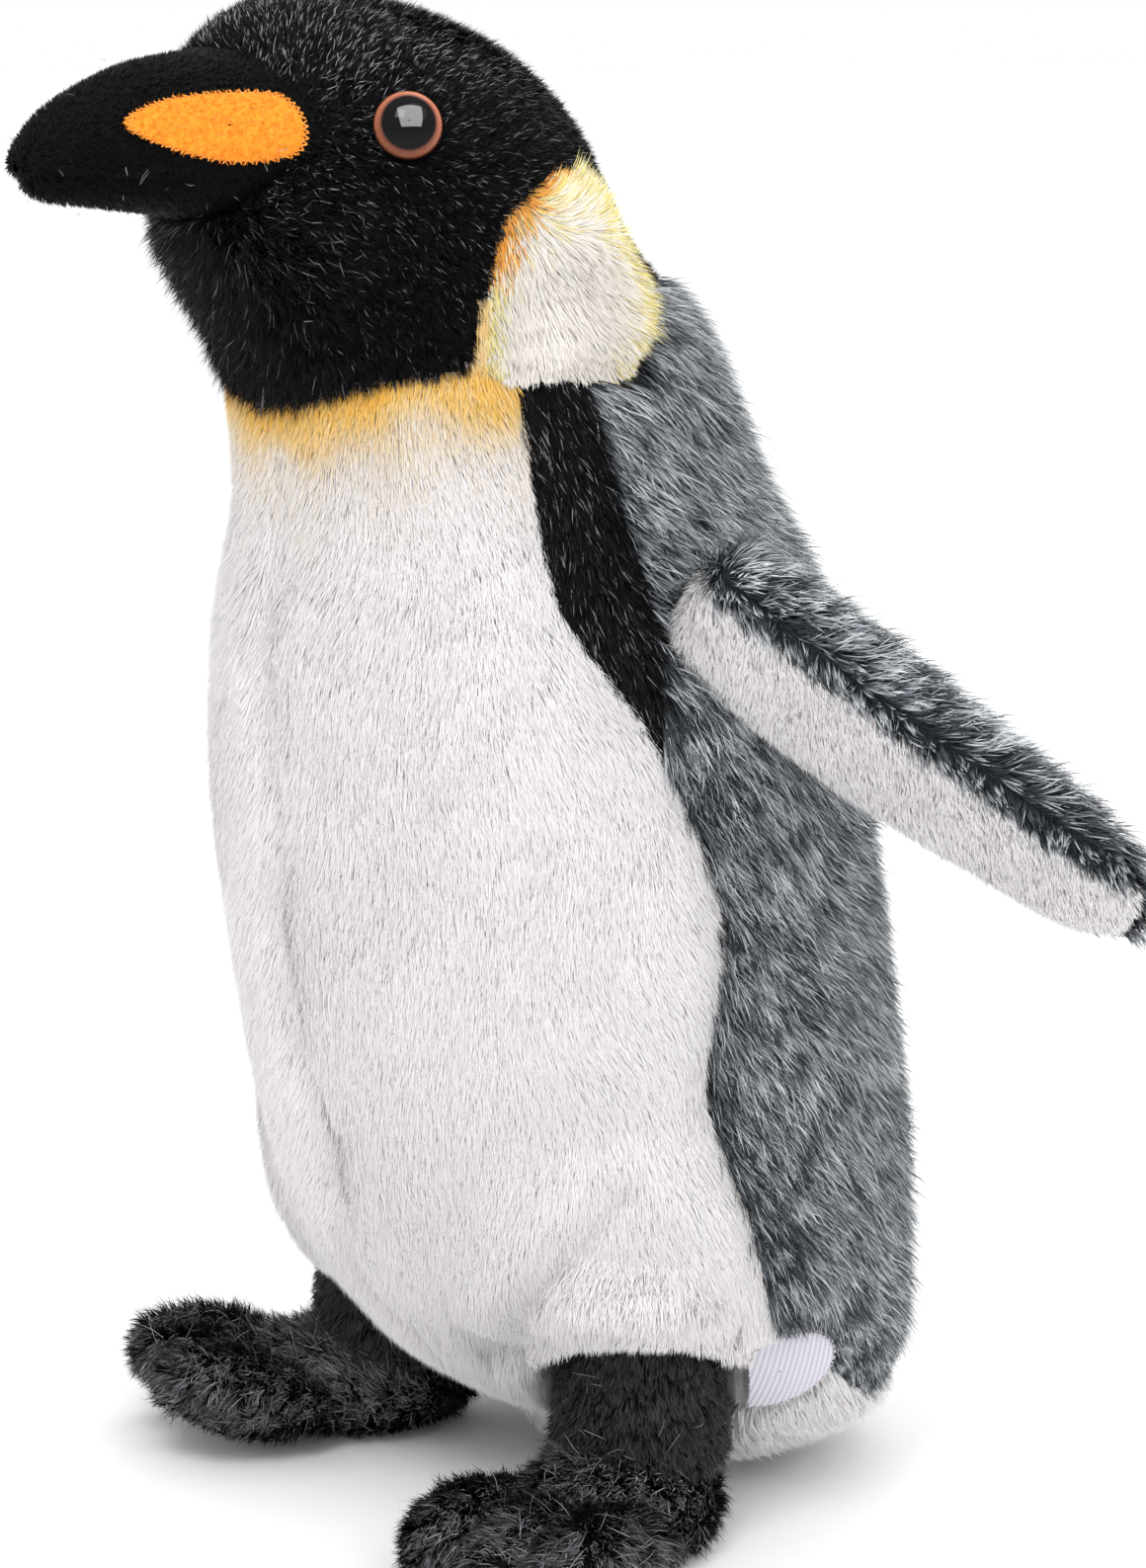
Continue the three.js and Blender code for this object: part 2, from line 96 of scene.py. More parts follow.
# Height, offset y, half width, half depth of the trouser end over the hip.
HIP = np.array([38.0, -23.0, 34.0])
ANKLE = HIP * np.array([1, 1, 0])  # on the floor below it
CUFF_RIM = 36.0
THIGH_TOP = 82.0
THIGH_ROUND = 26.0
THIGH = [
    (CUFF_RIM, 0, 19.5, 19.5),
    (46, -0.5, 20.5, 21.5),
    (60, -2, 16, 17.5),
    (THIGH_TOP, -4, 9, 10),
]
HOLLOW = (17.5, 19.0)  # half width and depth of the room round the leg
LEG_RADIUS = 14.5
FOOT_HEIGHT = 19.0
FOOT_SPLAY = math.radians(20)
TOES = (-12.5, 0.0, 12.5)

LABEL_AT = (-3, 29)  # y, z of the label's middle
LABEL_HALF = (12, 7.5)  # and its half axes

EYE_AT = np.array([31.5, -64.8, 239.8])
EYE_LOOK = np.array([0.84, -0.48, 0.25])
EYE_RADIUS = 5.6
EYE_DOME = 4.2

# Seam lines in the side view, points are y, z.
THROAT_LINE = [(-FAR, 192), (-75, 193.5), (-66, 199), (-54, 202)]
CHEEK = (-54, 213.6)
NAPE = 213.0
BELLY_LINE = [
    (-47.5, 213), (-47.5, 202), (-44.5, 177), (-42.4, 160.8), (-29.5, 138.2),
    (-22, 112), (-23.4, 86), (-19.5, 70), (-15.4, 57.5), (-10, 44), (-7, 34), (-6, 0),
]
STRIPE_BACK = [(-29.5, 138.2), (-30.5, 165), (-32.4, 181), (-36.5, 198), (-38.5, 206)]
STRIPE_END = 138.2
BASE_LINE = [(-FAR, 12), (-26, 12), (-12, 34.5), (0, 34.5), (22, 18), (FAR, 12)]
EAR_OUTLINE = [
    (-51, 200.6), (-52.5, 214), (-48, 227), (-36, 231), (-24, 225),
    (-18.5, 215), (-23, 205), (-28, 199.5), (-40, 200),
]
EAR_CENTRE = (-37, 214)
CREASE = [(-36, 68), (-37.3, 64.2), (-41, 52.9), (-42.6, 44.9), (-39.9, 31.9)]  # before the thigh


# ---------------------------------------------------------------- number helpers
def unit(vectors):
    vectors = np.asarray(vectors, float)
    length = np.linalg.norm(vectors, axis=-1, keepdims=True)
    return vectors / np.maximum(length, 1e-9)


def along_normal(vectors, normals):
    """The part of each vector that runs along its unit normal."""
    return (vectors * normals).sum(-1, keepdims=True) * normals


def fade(at, zero, one):
    """0 up to the place called zero, 1 from the place called one on, evenly between."""
    return np.clip((at - zero) / (one - zero), 0, 1)


def bell(distance, width):
    """1 at no distance, fading over the width."""
    return np.exp(-((distance / width) ** 2))


def height_at(line, y):
    """Height of a seam line, given by its corners, at each y."""
    return np.interp(y, *np.transpose(line))


def smooth_line(stations, at):
    """Each column of the stations after the first, as a smooth curve over the first."""
    stations = np.asarray(stations, float)
    knots = stations[:, 0]
    values = stations[:, 1:]
    slopes = np.gradient(values, knots, axis=0)
    at = np.clip(np.asarray(at, float), knots[0], knots[-1])
    k = np.clip(np.searchsorted(knots, at) - 1, 0, len(knots) - 2)
    step = (knots[k + 1] - knots[k])[..., None]
    t = ((at - knots[k])[..., None]) / step
    return (
        values[k] * (1 + 2 * t) * (1 - t) ** 2
        + slopes[k] * step * t * (1 - t) ** 2
        + values[k + 1] * t * t * (3 - 2 * t)
        + slopes[k + 1] * step * t * t * (t - 1)
    )


def through(points, pieces=60, closed=False):
    """Points along a smooth line through the few given ones."""
    points = np.asarray(points, float)
    if closed:
        points = np.vstack([points[-3:], points, points[:3]])
    number = np.arange(len(points), dtype=float)
    first, last = (3, len(points) - 3) if closed else (0, len(points) - 1)
    at = np.linspace(first, last, pieces)
    return smooth_line(np.column_stack([number, points]), at)


def inside_outline(points, outline):
    """Whether each point (y, z) lies inside a closed outline."""
    y, z = points[..., 0], points[..., 1]
    inside = np.zeros(y.shape, bool)
    for (y0, z0), (y1, z1) in zip(outline, np.roll(outline, -1, axis=0)):
        crosses = (z0 > z) != (z1 > z)
        reach = y0 + (z - z0) * (y1 - y0) / (z1 - z0 if z1 != z0 else 1e-9)
        inside ^= crosses & (y < reach)
    return inside


def near_line(points, line):
    """Distance of each point (y, z) from a line of points."""
    best = np.full(points.shape[:-1], 1e9)
    for a, b in zip(line[:-1], line[1:]):
        step = b - a
        t = np.clip(((points - a) @ step) / max(step @ step, 1e-9), 0, 1)
        gap = np.linalg.norm(points - a - t[..., None] * step, axis=-1)
        best = np.minimum(best, gap)
    return best


def waves(points, size, seed):
    """Smooth noise between about -1 and 1 with lumps of that size."""
    rng = np.random.default_rng(seed)
    total = np.zeros(len(points))
    for _ in range(8):
        heading = unit(rng.normal(size=3))
        pitch = 2 * math.pi / (size * rng.uniform(1.2, 2.6))
        total += np.sin(points @ heading * pitch + rng.uniform(0, 2 * math.pi))
    return total / 2.6


def tuft_centres(points, size, seed):
    """For each point the nearest of many random centres about size apart."""
    cells = np.floor(points / size).astype(np.int64)
    best = np.full(len(points), 1e9)
    centres = points.copy()
    for step in itertools.product((-1, 0, 1), repeat=3):
        cell = cells + step
        mixed = cell @ np.array([73856093, 19349663, 83492791]) + seed * 7919
        jitter = [np.mod(np.sin(mixed * pitch) * 43758.5453, 1) for pitch in (0.13, 0.17, 0.23)]
        centre = (cell + np.stack(jitter, 1)) * size
        gap = ((centre - points) ** 2).sum(1)
        nearer = gap < best
        best[nearer] = gap[nearer]
        centres[nearer] = centre[nearer]
    return centres


# ---------------------------------------------------------------- stuffed shapes
class Form:
    """A surface of quads with outward normals at its points."""

    def __init__(self, points, faces):
        self.points = points
        self.faces = faces
        a, b, c, d = (points[faces[:, k]] for k in range(4))
        facing = np.cross(c - a, d - b)
        total = np.zeros_like(points)
        for k in range(4):
            np.add.at(total, faces[:, k], facing)
        self.normals = unit(total)

    def moved(self, offsets):
        """The same surface with every point moved outwards by its offset."""
        return Form(self.points + self.normals * np.reshape(offsets, (-1, 1)), self.faces)

    def mirrored(self):
        return Form(self.points * np.array([-1.0, 1.0, 1.0]), self.faces[:, ::-1])

    def facing(self, outwards):
        """The same surface, turned over if its normals point against the given way out."""
        agree = (outwards * self.normals).sum() > 0
        return self if agree else Form(self.points, self.faces[:, ::-1])


def rings(grid, outwards=None):
    """A form from rings of points, rows by columns, each ring closed on itself. It faces
    away from the middles of its rings, or the way given for a nearly flat shape."""
    rows, columns = grid.shape[:2]
    first = np.arange(columns)
    following = np.roll(first, -1)
    row = np.arange(rows - 1)[:, None] * columns
    quads = [row + first, row + following, row + columns + following, row + columns + first]
    form = Form(grid.reshape(-1, 3), np.stack(quads, -1).reshape(-1, 4))
    if outwards is None:
        outwards = (grid - grid.mean(axis=1, keepdims=True)).reshape(-1, 3)
    return form.facing(outwards)


def fullness(at, low, high, round_low, round_high):
    """1 along the middle of a shape, falling to 0 in a quarter round over each end."""
    short = np.zeros_like(at)
    if round_low:
        short = np.maximum(short, (low + round_low - at) / round_low)
    if round_high:
        short = np.maximum(short, (at - high + round_high) / round_high)
    return np.maximum(0, 1 - np.clip(short, 0, 1) ** ROUNDNESS) ** (1 / ROUNDNESS)


def lathe(stations, rows, columns, round_low=0, round_high=0, inset=0.0):
    """Rings along +Z through the stations, drawn in all round by the inset. Ends that are
    rounded off stop just short of a pole."""
    low, high = stations[0][0], stations[-1][0]
    short = 0.06
    turn = np.linspace(short if round_low else 0, math.pi - short, rows)
    at = low + (high - low) * (1 - np.cos(turn)) / 2
    if not round_high:
        at = np.linspace(at[0], high, rows)
    middle, width, depth = smooth_line(stations, at).T
    full = fullness(at, low, high, round_low, round_high)
    angle = np.arange(columns) / columns * 2 * math.pi - math.pi / 2
    x = (full * (width - inset))[:, None] * np.cos(angle)
    y = middle[:, None] + (full * (depth - inset))[:, None] * np.sin(angle)
    drawn = low + inset + (at - low) * (high - low - 2 * inset) / (high - low)
    z = np.repeat(drawn[:, None], columns, axis=1)
    return np.stack([x, y, z], -1)


def spread(field, rows, columns):
    """A field on a coarse grid of rings, smoothly spread over a finer one."""
    few_rows, few_columns = field.shape[:2]
    row = np.linspace(0, few_rows - 1, rows)
    column = np.arange(columns) / columns * few_columns
    below = np.minimum(row.astype(int), few_rows - 2)
    before = column.astype(int)
    after = (before + 1) % few_columns
    u = (row - below)[:, None, None]
    v = (column - before)[None, :, None]
    u, v = u * u * (3 - 2 * u), v * v * (3 - 2 * v)
    low = field[below][:, before] * (1 - v) + field[below][:, after] * v
    high = field[below + 1][:, before] * (1 - v) + field[below + 1][:, after] * v
    return low * (1 - u) + high * u


def under_pressure(form, held, most):
    """Cloth simulation: how far each point of a stuffed skin moves under the pressure of its
    filling while the held points stay, cut off at the most given."""
    cloth = mesh_object("cloth_blank", form.points, form.faces)
    seams = cloth.vertex_groups.new(name="seams")
    seams.add(np.flatnonzero(held).tolist(), 1.0, "ADD")
    sim = cloth.modifiers.new("cloth", "CLOTH")
    sim.settings.vertex_group_mass = "seams"
    sim.settings.use_pressure = True
    sim.settings.uniform_pressure_force = 4
    sim.settings.effector_weights.gravity = 0
    sim.point_cache.frame_start = 1
    sim.point_cache.frame_end = 20
    for number in range(1, 21):
        bpy.context.scene.frame_set(number)
    moved = np.nan_to_num(taken(cloth).points - form.points)
    bpy.context.scene.frame_set(1)
    length = np.linalg.norm(moved, axis=1, keepdims=True)
    return moved * np.minimum(1, most / np.maximum(length, 1e-6))


def held_at_seams(points):
    """The points of the body's skin that its seams, its beak and its flat base keep in place."""
    side = points[:, 1:]
    seam = near_line(side, through(BELLY_LINE)) < 4
    seam |= near_line(side, np.array(THROAT_LINE)) < 4
    centre = (np.abs(points[:, 0]) < 4) & (points[:, 1] < -20)
    return seam | centre | (points[:, 2] < 8) | (points[:, 2] > NAPE + 6)


BODY_GRID = (190, 216)  # rows and columns of the finished skin
CLOTH_GRID = (48, 54)  # and of the copy that is run as cloth


def body_form():
    """The stuffed body and head, filled out between its seams and drawn in along them."""
    few = lathe(BODY, *CLOTH_GRID, round_high=CROWN_RISE, inset=FABRIC_INSET)
    blank = rings(few)
    bulge = under_pressure(blank, held_at_seams(blank.points), 2.0).reshape(few.shape)
    grid = lathe(BODY, *BODY_GRID, round_high=CROWN_RISE, inset=FABRIC_INSET)
    form = rings(grid + spread(bulge, *BODY_GRID))
    side = form.points[:, 1:]
    x, y, z = form.points.T
    tuck = 1.6 * bell(near_line(side, through(BELLY_LINE)), 4) * (np.abs(x) > 12)
    front_seam = (y < -20) * fade(z, 22, 34) * fade(z, 196, 171)
    tuck += 3.6 * front_seam * bell(x - 1.6 * np.sin(z / 9) - 0.8 * np.sin(z / 3.7), 3.2)
    tuck += 1.2 * bell(near_line(side, np.array(THROAT_LINE)), 3) * (y < -50)
    tuck += 2.2 * bell(near_line(side, through(CREASE)), 3) * (np.abs(x) > 16) * (y < -20)
    tuck += 0.55 * waves(form.points, 26, 3) * (z > 6)
    tuck -= 4.5 * bell(np.clip(beyond_thigh(form.points), 0, None), 7) * (z > CUFF_RIM + 4)
    form = form.moved(-tuck)
    points = form.points.copy()
    hollow = under_thigh(points) & (points[:, 2] < CUFF_RIM)
    points[hollow, 2] = CUFF_RIM + 0.5
    return Form(points, form.faces)


def wing_frame():
    """Unit vectors along the flipper's chord, outwards and along its length."""
    axis = unit(WING_AXIS)
    out = unit(np.cross(axis, WING_CHORD))
    chord = unit(np.cross(out, axis))
    return chord, out, axis


def wing_form():
    grid = lathe(WING, 90, 96, round_low=7, round_high=15, inset=FABRIC_INSET)
    form = rings(SHOULDER + grid @ np.array(wing_frame()))
    return form.moved(0.5 * waves(form.points, 20, 5))


def thigh_form():
    """A trouser end; its rim rides up on the outer front and hangs lower elsewhere."""
    form = rings(lathe(THIGH, 60, 90, round_high=THIGH_ROUND, inset=FABRIC_INSET) + ANKLE)
    form = form.moved(0.8 * waves(form.points, 18, 7))
    points = form.points.copy()
    outer = np.clip((points - HIP) @ np.array([0.8, -0.6, 0]) / 20, 0, 1)
    points[:, 2] += (10 * outer**2 - 4) * fade(points[:, 2], 50, 37)
    return Form(points, form.faces)


def leg_form():
    stations = [
        (FOOT_HEIGHT - 5, -1, LEG_RADIUS, LEG_RADIUS + 1),
        (30, 0, LEG_RADIUS - 0.6, LEG_RADIUS - 0.6),
        (47, 0, LEG_RADIUS - 1, LEG_RADIUS - 1),
    ]
    form = rings(lathe(stations, 40, 72, round_high=10, inset=0.8) + ANKLE)
    return form.moved(0.35 * waves(form.points, 12, 9))


def beak_form():
    """The beak, drawn in along its mouth line."""
    x, up, reach = lathe(BEAK, 70, 96, round_high=9, inset=0.4).transpose(2, 0, 1)
    form = rings(np.stack([x, BEAK_ROOT[1] - reach, BEAK_ROOT[2] + up], -1))
    groove = 1.1 * bell(form.points[:, 2] - MOUTH_HEIGHT, 1.1) * (reach.ravel() > 20)
    return form.moved(-groove)


def body_section(z):
    """Centre y, half width and half depth of the body at each height."""
    middle, width, depth = smooth_line(BODY, z).T
    full = fullness(z, 0, BODY_HEIGHT, 0, CROWN_RISE)
    return middle, full * width, full * depth


def thigh_section(z):
    """The same for a trouser end."""
    middle, width, depth = smooth_line(THIGH, z).T
    full = fullness(z, CUFF_RIM, THIGH_TOP, 0, THIGH_ROUND)
    return HIP[1] + middle, full * width, full * depth


def inside_section(across, y, section, grow):
    """Whether points lie inside an oval section that is wider by grow all round."""
    middle, width, depth = section
    width, depth = np.maximum(width + grow, 0.1), np.maximum(depth + grow, 0.1)
    return (across / width) ** 2 + ((y - middle) / depth) ** 2 < 1


def inside_body(points, grow):
    x, y, z = points.T
    return inside_section(x, y, body_section(z), grow)


def inside_thigh(points, grow):
    x, y, z = points.T
    inside = inside_section(np.abs(x) - HIP[0], y, thigh_section(z), grow)
    return inside & (z > CUFF_RIM - 2) & (z < THIGH_TOP)


def beyond_thigh(points):
    """Rough distance outside the nearer trouser end."""
    x, y, z = points.T
    middle, width, depth = thigh_section(z)
    width, depth = np.maximum(width, 3), np.maximum(depth, 3)
    share = np.hypot((np.abs(x) - HIP[0]) / width, (y - middle) / depth)
    return np.maximum((share - 1) * width, np.clip(z - 76, 0, None))


def under_thigh(points):
    """Within the hollow under the trouser ends where the legs come out, seen from above."""
    across = (np.abs(points[:, 0]) - HIP[0]) / HOLLOW[0]
    along = (points[:, 1] - HIP[1]) / HOLLOW[1]
    return across**2 + along**2 < 1


# ---------------------------------------------------------------- meshes
def mesh_object(name, points, faces):
    """A mesh object from points in millimetres and an array of quads or triangles."""
    corners = faces.shape[1]
    mesh = bpy.data.meshes.new(name)
    mesh.vertices.add(len(points))
    mesh.vertices.foreach_set("co", (np.asarray(points) * MM).astype(np.float32).ravel())
    mesh.loops.add(len(faces) * corners)
    mesh.loops.foreach_set("vertex_index", faces.astype(np.int32).ravel())
    mesh.polygons.add(len(faces))
    starts = np.arange(0, len(faces) * corners, corners, dtype=np.int32)
    mesh.polygons.foreach_set("loop_start", starts)
    mesh.update(calc_edges=True)
    mesh.polygons.foreach_set("use_smooth", np.ones(len(faces), bool))
    made = bpy.data.objects.new(name, mesh)
    bpy.context.scene.collection.objects.link(made)
    return made


def taken(blank):
    """The form of a scratch object's evaluated mesh; the object is removed."""
    ready = blank.evaluated_get(bpy.context.evaluated_depsgraph_get())
    mesh = ready.to_mesh()
    points = np.zeros(len(mesh.vertices) * 3)
    mesh.vertices.foreach_get("co", points)
    quads = np.array([tuple(f.vertices) for f in mesh.polygons if len(f.vertices) == 4])
    ready.to_mesh_clear()
    bpy.data.objects.remove(blank)
    form = Form(points.reshape(-1, 3) / MM, quads)
    return form.facing(form.points - form.points.mean(axis=0))


def skin(name, form, keep, material, node):
    """The part of a form's surface where keep is true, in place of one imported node."""
    faces = form.faces[keep(form.points[form.faces].mean(axis=1))]
    used, faces = np.unique(faces, return_inverse=True)
    panel = mesh_object(name, form.points[used], faces.reshape(-1, 4))
    panel.data.materials.append(material)
    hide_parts(node)
    return panel


# ---------------------------------------------------------------- pile
STRAND_UV = "OFBake"  # across: the fibre's dye, up: from root to tip
MOST_TRIANGLES = 190_000  # in one mesh
TAPER = {2: (1.0, 0.8), 3: (1.0, 0.95, 0.7)}  # share of the width at each joint of a fibre


@dataclasses.dataclass
class Pile:
    """How the fibres of a fabric stand: lengths in millimetres, angles from upright."""

    material: object
    density: float  # fibres a square millimetre
    length: float
    root_angle: float
    tip_angle: float
    width: float = 0.3
    joints: int = 2  # straight stretches in one fibre
    jitter: float = 11  # degrees, fibre to fibre
    tuft: float = 3.0  # size of the tufts that tips gather into
    gather: float = 0.35
    uneven: float = 0.18
    swirl: float = 12  # degrees, slow wandering of the nap
    sparkle: float = 0.45  # how differently neighbouring fibres catch the light


def scatter(form, density, keep, seed):
    """Random roots on a form where keep is true: their places and the normals there."""
    rng = np.random.default_rng(seed)
    faces, points, normals = form.faces, form.points, form.normals
    a, b, c, d = (points[faces[:, k]] for k in range(4))
    area = np.linalg.norm(np.cross(c - a, d - b), axis=1) / 2
    face = np.repeat(np.arange(len(faces)), rng.poisson(area * density))
    u, v = rng.random((2, len(face), 1))
    weights = [(1 - u) * (1 - v), u * (1 - v), u * v, (1 - u) * v]
    roots = sum(w * points[faces[face, k]] for k, w in enumerate(weights))
    outward = unit(sum(w * normals[faces[face, k]] for k, w in enumerate(weights)))
    chosen = keep(roots)
    return roots[chosen], outward[chosen]


def turned(vectors, axes, angles):
    """Vectors turned about unit axes by angles in radians."""
    c, s = np.cos(angles)[:, None], np.sin(angles)[:, None]
    along = (vectors * axes).sum(-1, keepdims=True)
    return vectors * c + np.cross(axes, vectors) * s + axes * along * (1 - c)


def fibre_lines(roots, normals, nap, pile, stretch, rng, seed):
    """The points along every fibre, root first: an array of joints + 1 by fibres by 3."""
    count = len(roots)
    wander = np.radians(pile.swirl) * waves(roots, 22, seed)
    wander += np.radians(pile.jitter) * rng.normal(size=count)
    heading = turned(unit(nap - along_normal(nap, normals)), normals, wander)
    centres = tuft_centres(roots, pile.tuft, seed)
    draw = centres - roots
    draw -= along_normal(draw, normals)
    same = np.sin(centres @ np.array([12.9, 78.2, 37.7]))  # one value a tuft
    uneven = 1 + pile.uneven * (0.6 * rng.normal(size=count) + 0.7 * same)
    length = pile.length * stretch * np.clip(uneven, 0.3, 1.6)
    tilt = np.radians(pile.jitter * 0.7) * (rng.normal(size=count) + 0.8 * same)
    line = [roots]
    for k in range(pile.joints):
        share = k / (pile.joints - 1)
        angle = np.radians(pile.root_angle + (pile.tip_angle - pile.root_angle) * share) + tilt
        angle = np.clip(angle, 0.05, 1.5)[:, None]
        step = np.cos(angle) * normals + np.sin(angle) * heading
        line.append(line[-1] + step * (length / pile.joints)[:, None])
    for k in range(1, pile.joints + 1):
        line[k] = line[k] + draw * pile.gather * (k / pile.joints) ** 1.5
    return np.array(line), heading


def grow(name, roots, normals, nap, pile, dye, seed, stretch=1.0):
    """Pile on the given roots as one or more mesh objects. The nap is the way the fibres
    are brushed and dye (0 to 1) picks each fibre's colour across its material's ramps."""
    rng = np.random.default_rng(seed)
    count = len(roots)
    line, heading = fibre_lines(roots, normals, nap, pile, stretch, rng, seed)
    lean = np.radians(28) * rng.normal(size=count)
    flat = turned(unit(np.cross(heading, normals)), normals, lean)
    half = pile.width / 2 * rng.uniform(0.75, 1.25, size=(count, 1))
    catching = unit(normals + pile.sparkle * rng.normal(size=(count, 1)) * flat + 0.25 * heading)
    rows, up, across = [], [], []
    for k, share in enumerate(TAPER[pile.joints]):
        for side in (-1, 1):
            rows.append(line[k] + flat * half * share * side)
            up.append(k / pile.joints)
            across.append(side)
    points = np.stack(rows + [line[-1]], 1)
    across = np.array(across + [0])
    per = len(across)
    faces = []
    for k in range(pile.joints - 1):
        faces += [(2 * k, 2 * k + 1, 2 * k + 3), (2 * k, 2 * k + 3, 2 * k + 2)]
    faces = np.array(faces + [(per - 3, per - 2, per - 1)])
    u = np.clip(dye + np.zeros(count), 0.012, 0.988)[:, None] + 0.01 * across
    v = np.tile(np.clip(up + [1.0], 0.01, 0.99), (count, 1))
    shading = unit(catching[:, None] + 0.25 * across[:, None] * flat[:, None])
    chunks = max(1, math.ceil(count / (MOST_TRIANGLES // len(faces))))
    made = []
    for n, part in enumerate(np.array_split(np.arange(count), chunks)):
        strands = (np.arange(len(part))[:, None, None] * per + faces).reshape(-1, 3)
        title = name if chunks == 1 else f"{name}_{n + 1}"
        clump = mesh_object(title, points[part].reshape(-1, 3), strands)
        layer = clump.data.uv_layers.new(name=STRAND_UV)
        uv = np.stack([u[part].ravel(), v[part].ravel()], -1)
        layer.data.foreach_set("uv", uv[strands.ravel()].astype(np.float32).ravel())
        custom = clump.data.attributes.new("custom_normal", "FLOAT_VECTOR", "POINT")
        custom.data.foreach_set("vector", shading[part].astype(np.float32).ravel())
        clump.data.materials.append(pile.material)
        made.append(clump)
    return made


def fur(name, form, keep, pile, dress, seeds):
    """Pile on the part of a form where keep is true. From the roots, the normals there and a
    random generator, dress gives the nap, the dye and the share of the full length."""
    for_roots, for_dress, for_fibres = seeds
    roots, normals = scatter(form, pile.density, keep, for_roots)
    nap, dye, stretch = dress(roots, normals, np.random.default_rng(for_dress))
    return grow(name, roots, normals, nap, pile, dye, for_fibres, stretch)


def loose_fibres(name, form, keep, count, seed, length):
    """A few long curly fibres caught on the pile."""
    pile = Pile(LINT_FIBRE, 1.0, length, 62, 96, width=0.1, joints=3, jitter=25, tuft=4,
                gather=0.6, uneven=0.4)
    roots, normals = scatter(form, pile.density, keep, seed)
    rng = np.random.default_rng(seed)
    pick = rng.choice(len(roots), min(count, len(roots)), replace=False)
    nap = rng.normal(size=(len(pick), 3))
    caught = roots[pick] + normals[pick] * 1.8
    return grow(name, caught, normals[pick], nap, pile, rng.random(len(pick)), seed)


# ---------------------------------------------------------------- materials
def colour(code):
    """Linear colour from a hex code as it looks on a screen."""
    parts = [int(code[k : k + 2], 16) / 255 for k in (0, 2, 4)]
    return [c / 12.92 if c < 0.04045 else ((c + 0.055) / 1.055) ** 2.4 for c in parts] + [1.0]


class Material:
    """A material being put together, node by node."""

    def __init__(self, name):
        self.made = bpy.data.materials.new(name)
        self.made.use_nodes = True
        self.tree = self.made.node_tree
        self.shader = self.tree.nodes["Principled BSDF"]

    def node(self, kind, **settings):
        made = self.tree.nodes.new(kind)
        for key, value in settings.items():
            setattr(made, key, value)
        return made

    def link(self, output, socket):
        self.tree.links.new(output, socket)

    def surface(self, paint, roughness, specular, sheen=0.0, coat=0.0):
        """Sets the shader's inputs; the material is then complete but for its bumps."""
        inputs = self.shader.inputs
        self.link(paint, inputs["Base Color"])
        inputs["Roughness"].default_value = roughness
        inputs["Specular IOR Level"].default_value = specular
        inputs["Sheen Weight"].default_value = sheen
        inputs["Coat Weight"].default_value = coat
        inputs["Coat Roughness"].default_value = 0.02
        return self.made

    def ramp(self, source, stops):
        made = self.node("ShaderNodeValToRGB")
        elements = made.color_ramp.elements
        while len(elements) < len(stops):
            elements.new(0.5)
        for element, (at, code) in zip(elements, stops):
            element.position = at
            element.color = colour(code)
        self.link(source, made.inputs["Fac"])
        return made.outputs["Color"]

    def place(self):
        return self.node("ShaderNodeTexCoord").outputs["Object"]

    def noise(self, scale, detail=4.0):
        made = self.node("ShaderNodeTexNoise")
        made.inputs["Scale"].default_value = scale
        made.inputs["Detail"].default_value = detail
        made.inputs["Roughness"].default_value = 0.6
        self.link(self.place(), made.inputs["Vector"])
        return made.outputs["Fac"]

    def vector(self, operation, first, second=(0, 0, 0)):
        """Vector arithmetic of an output and a fixed vector."""
        made = self.node("ShaderNodeVectorMath", operation=operation)
        self.link(first, made.inputs[0])
        made.inputs[1].default_value = tuple(second)
        return made.outputs["Value" if operation == "LENGTH" else "Vector"]

    def bump(self, height, strength, distance):
        made = self.node("ShaderNodeBump")
        made.inputs["Strength"].default_value = strength
        made.inputs["Distance"].default_value = distance
        self.link(height, made.inputs["Height"])
        self.link(made.outputs["Normal"], self.shader.inputs["Normal"])


def fibre(name, roots, tips, roughness, specular):
    """Fibres coloured by their dye across, from a root ramp to a tip ramp along."""
    m = Material(name)
    uv = m.node("ShaderNodeUVMap", uv_map=STRAND_UV)
    parts = m.node("ShaderNodeSeparateXYZ")
    m.link(uv.outputs["UV"], parts.inputs["Vector"])
    fade_up = m.node("ShaderNodeMapRange")
    fade_up.inputs["From Min"].default_value = 0.15
    fade_up.inputs["From Max"].default_value = 0.8
    m.link(parts.outputs["Y"], fade_up.inputs["Value"])
    mixed = m.node("ShaderNodeMix", data_type="RGBA")
    m.link(fade_up.outputs["Result"], mixed.inputs["Factor"])
    m.link(m.ramp(parts.outputs["X"], roots), mixed.inputs["A"])
    m.link(m.ramp(parts.outputs["X"], tips), mixed.inputs["B"])
    return m.surface(mixed.outputs["Result"], roughness, specular)


def woven(name, dark, light, scale=900):
    """The woven ground that shows between fibres."""
    m = Material(name)
    m.bump(m.noise(scale * 2), 0.5, 0.0006)
    return m.surface(m.ramp(m.noise(scale), [(0.3, dark), (0.7, light)]), 0.95, 0.1)


def felt(name, dark, light):
    m = Material(name)
    m.bump(m.noise(2600, 5), 0.7, 0.0004)
    return m.surface(m.ramp(m.noise(1400, 6), [(0.3, dark), (0.7, light)]), 0.95, 0.12, sheen=0.15)


def ribbed_cloth(name, dark, light):
    m = Material(name)
    wave = m.node("ShaderNodeTexWave", wave_type="BANDS", bands_direction="Y")
    wave.inputs["Scale"].default_value = 260
    wave.inputs["Distortion"].default_value = 0.4
    m.link(m.place(), wave.inputs["Vector"])
    m.bump(wave.outputs["Fac"], 0.5, 0.0003)
    return m.surface(m.ramp(wave.outputs["Fac"], [(0.2, dark), (0.8, light)]), 0.6, 0.3)


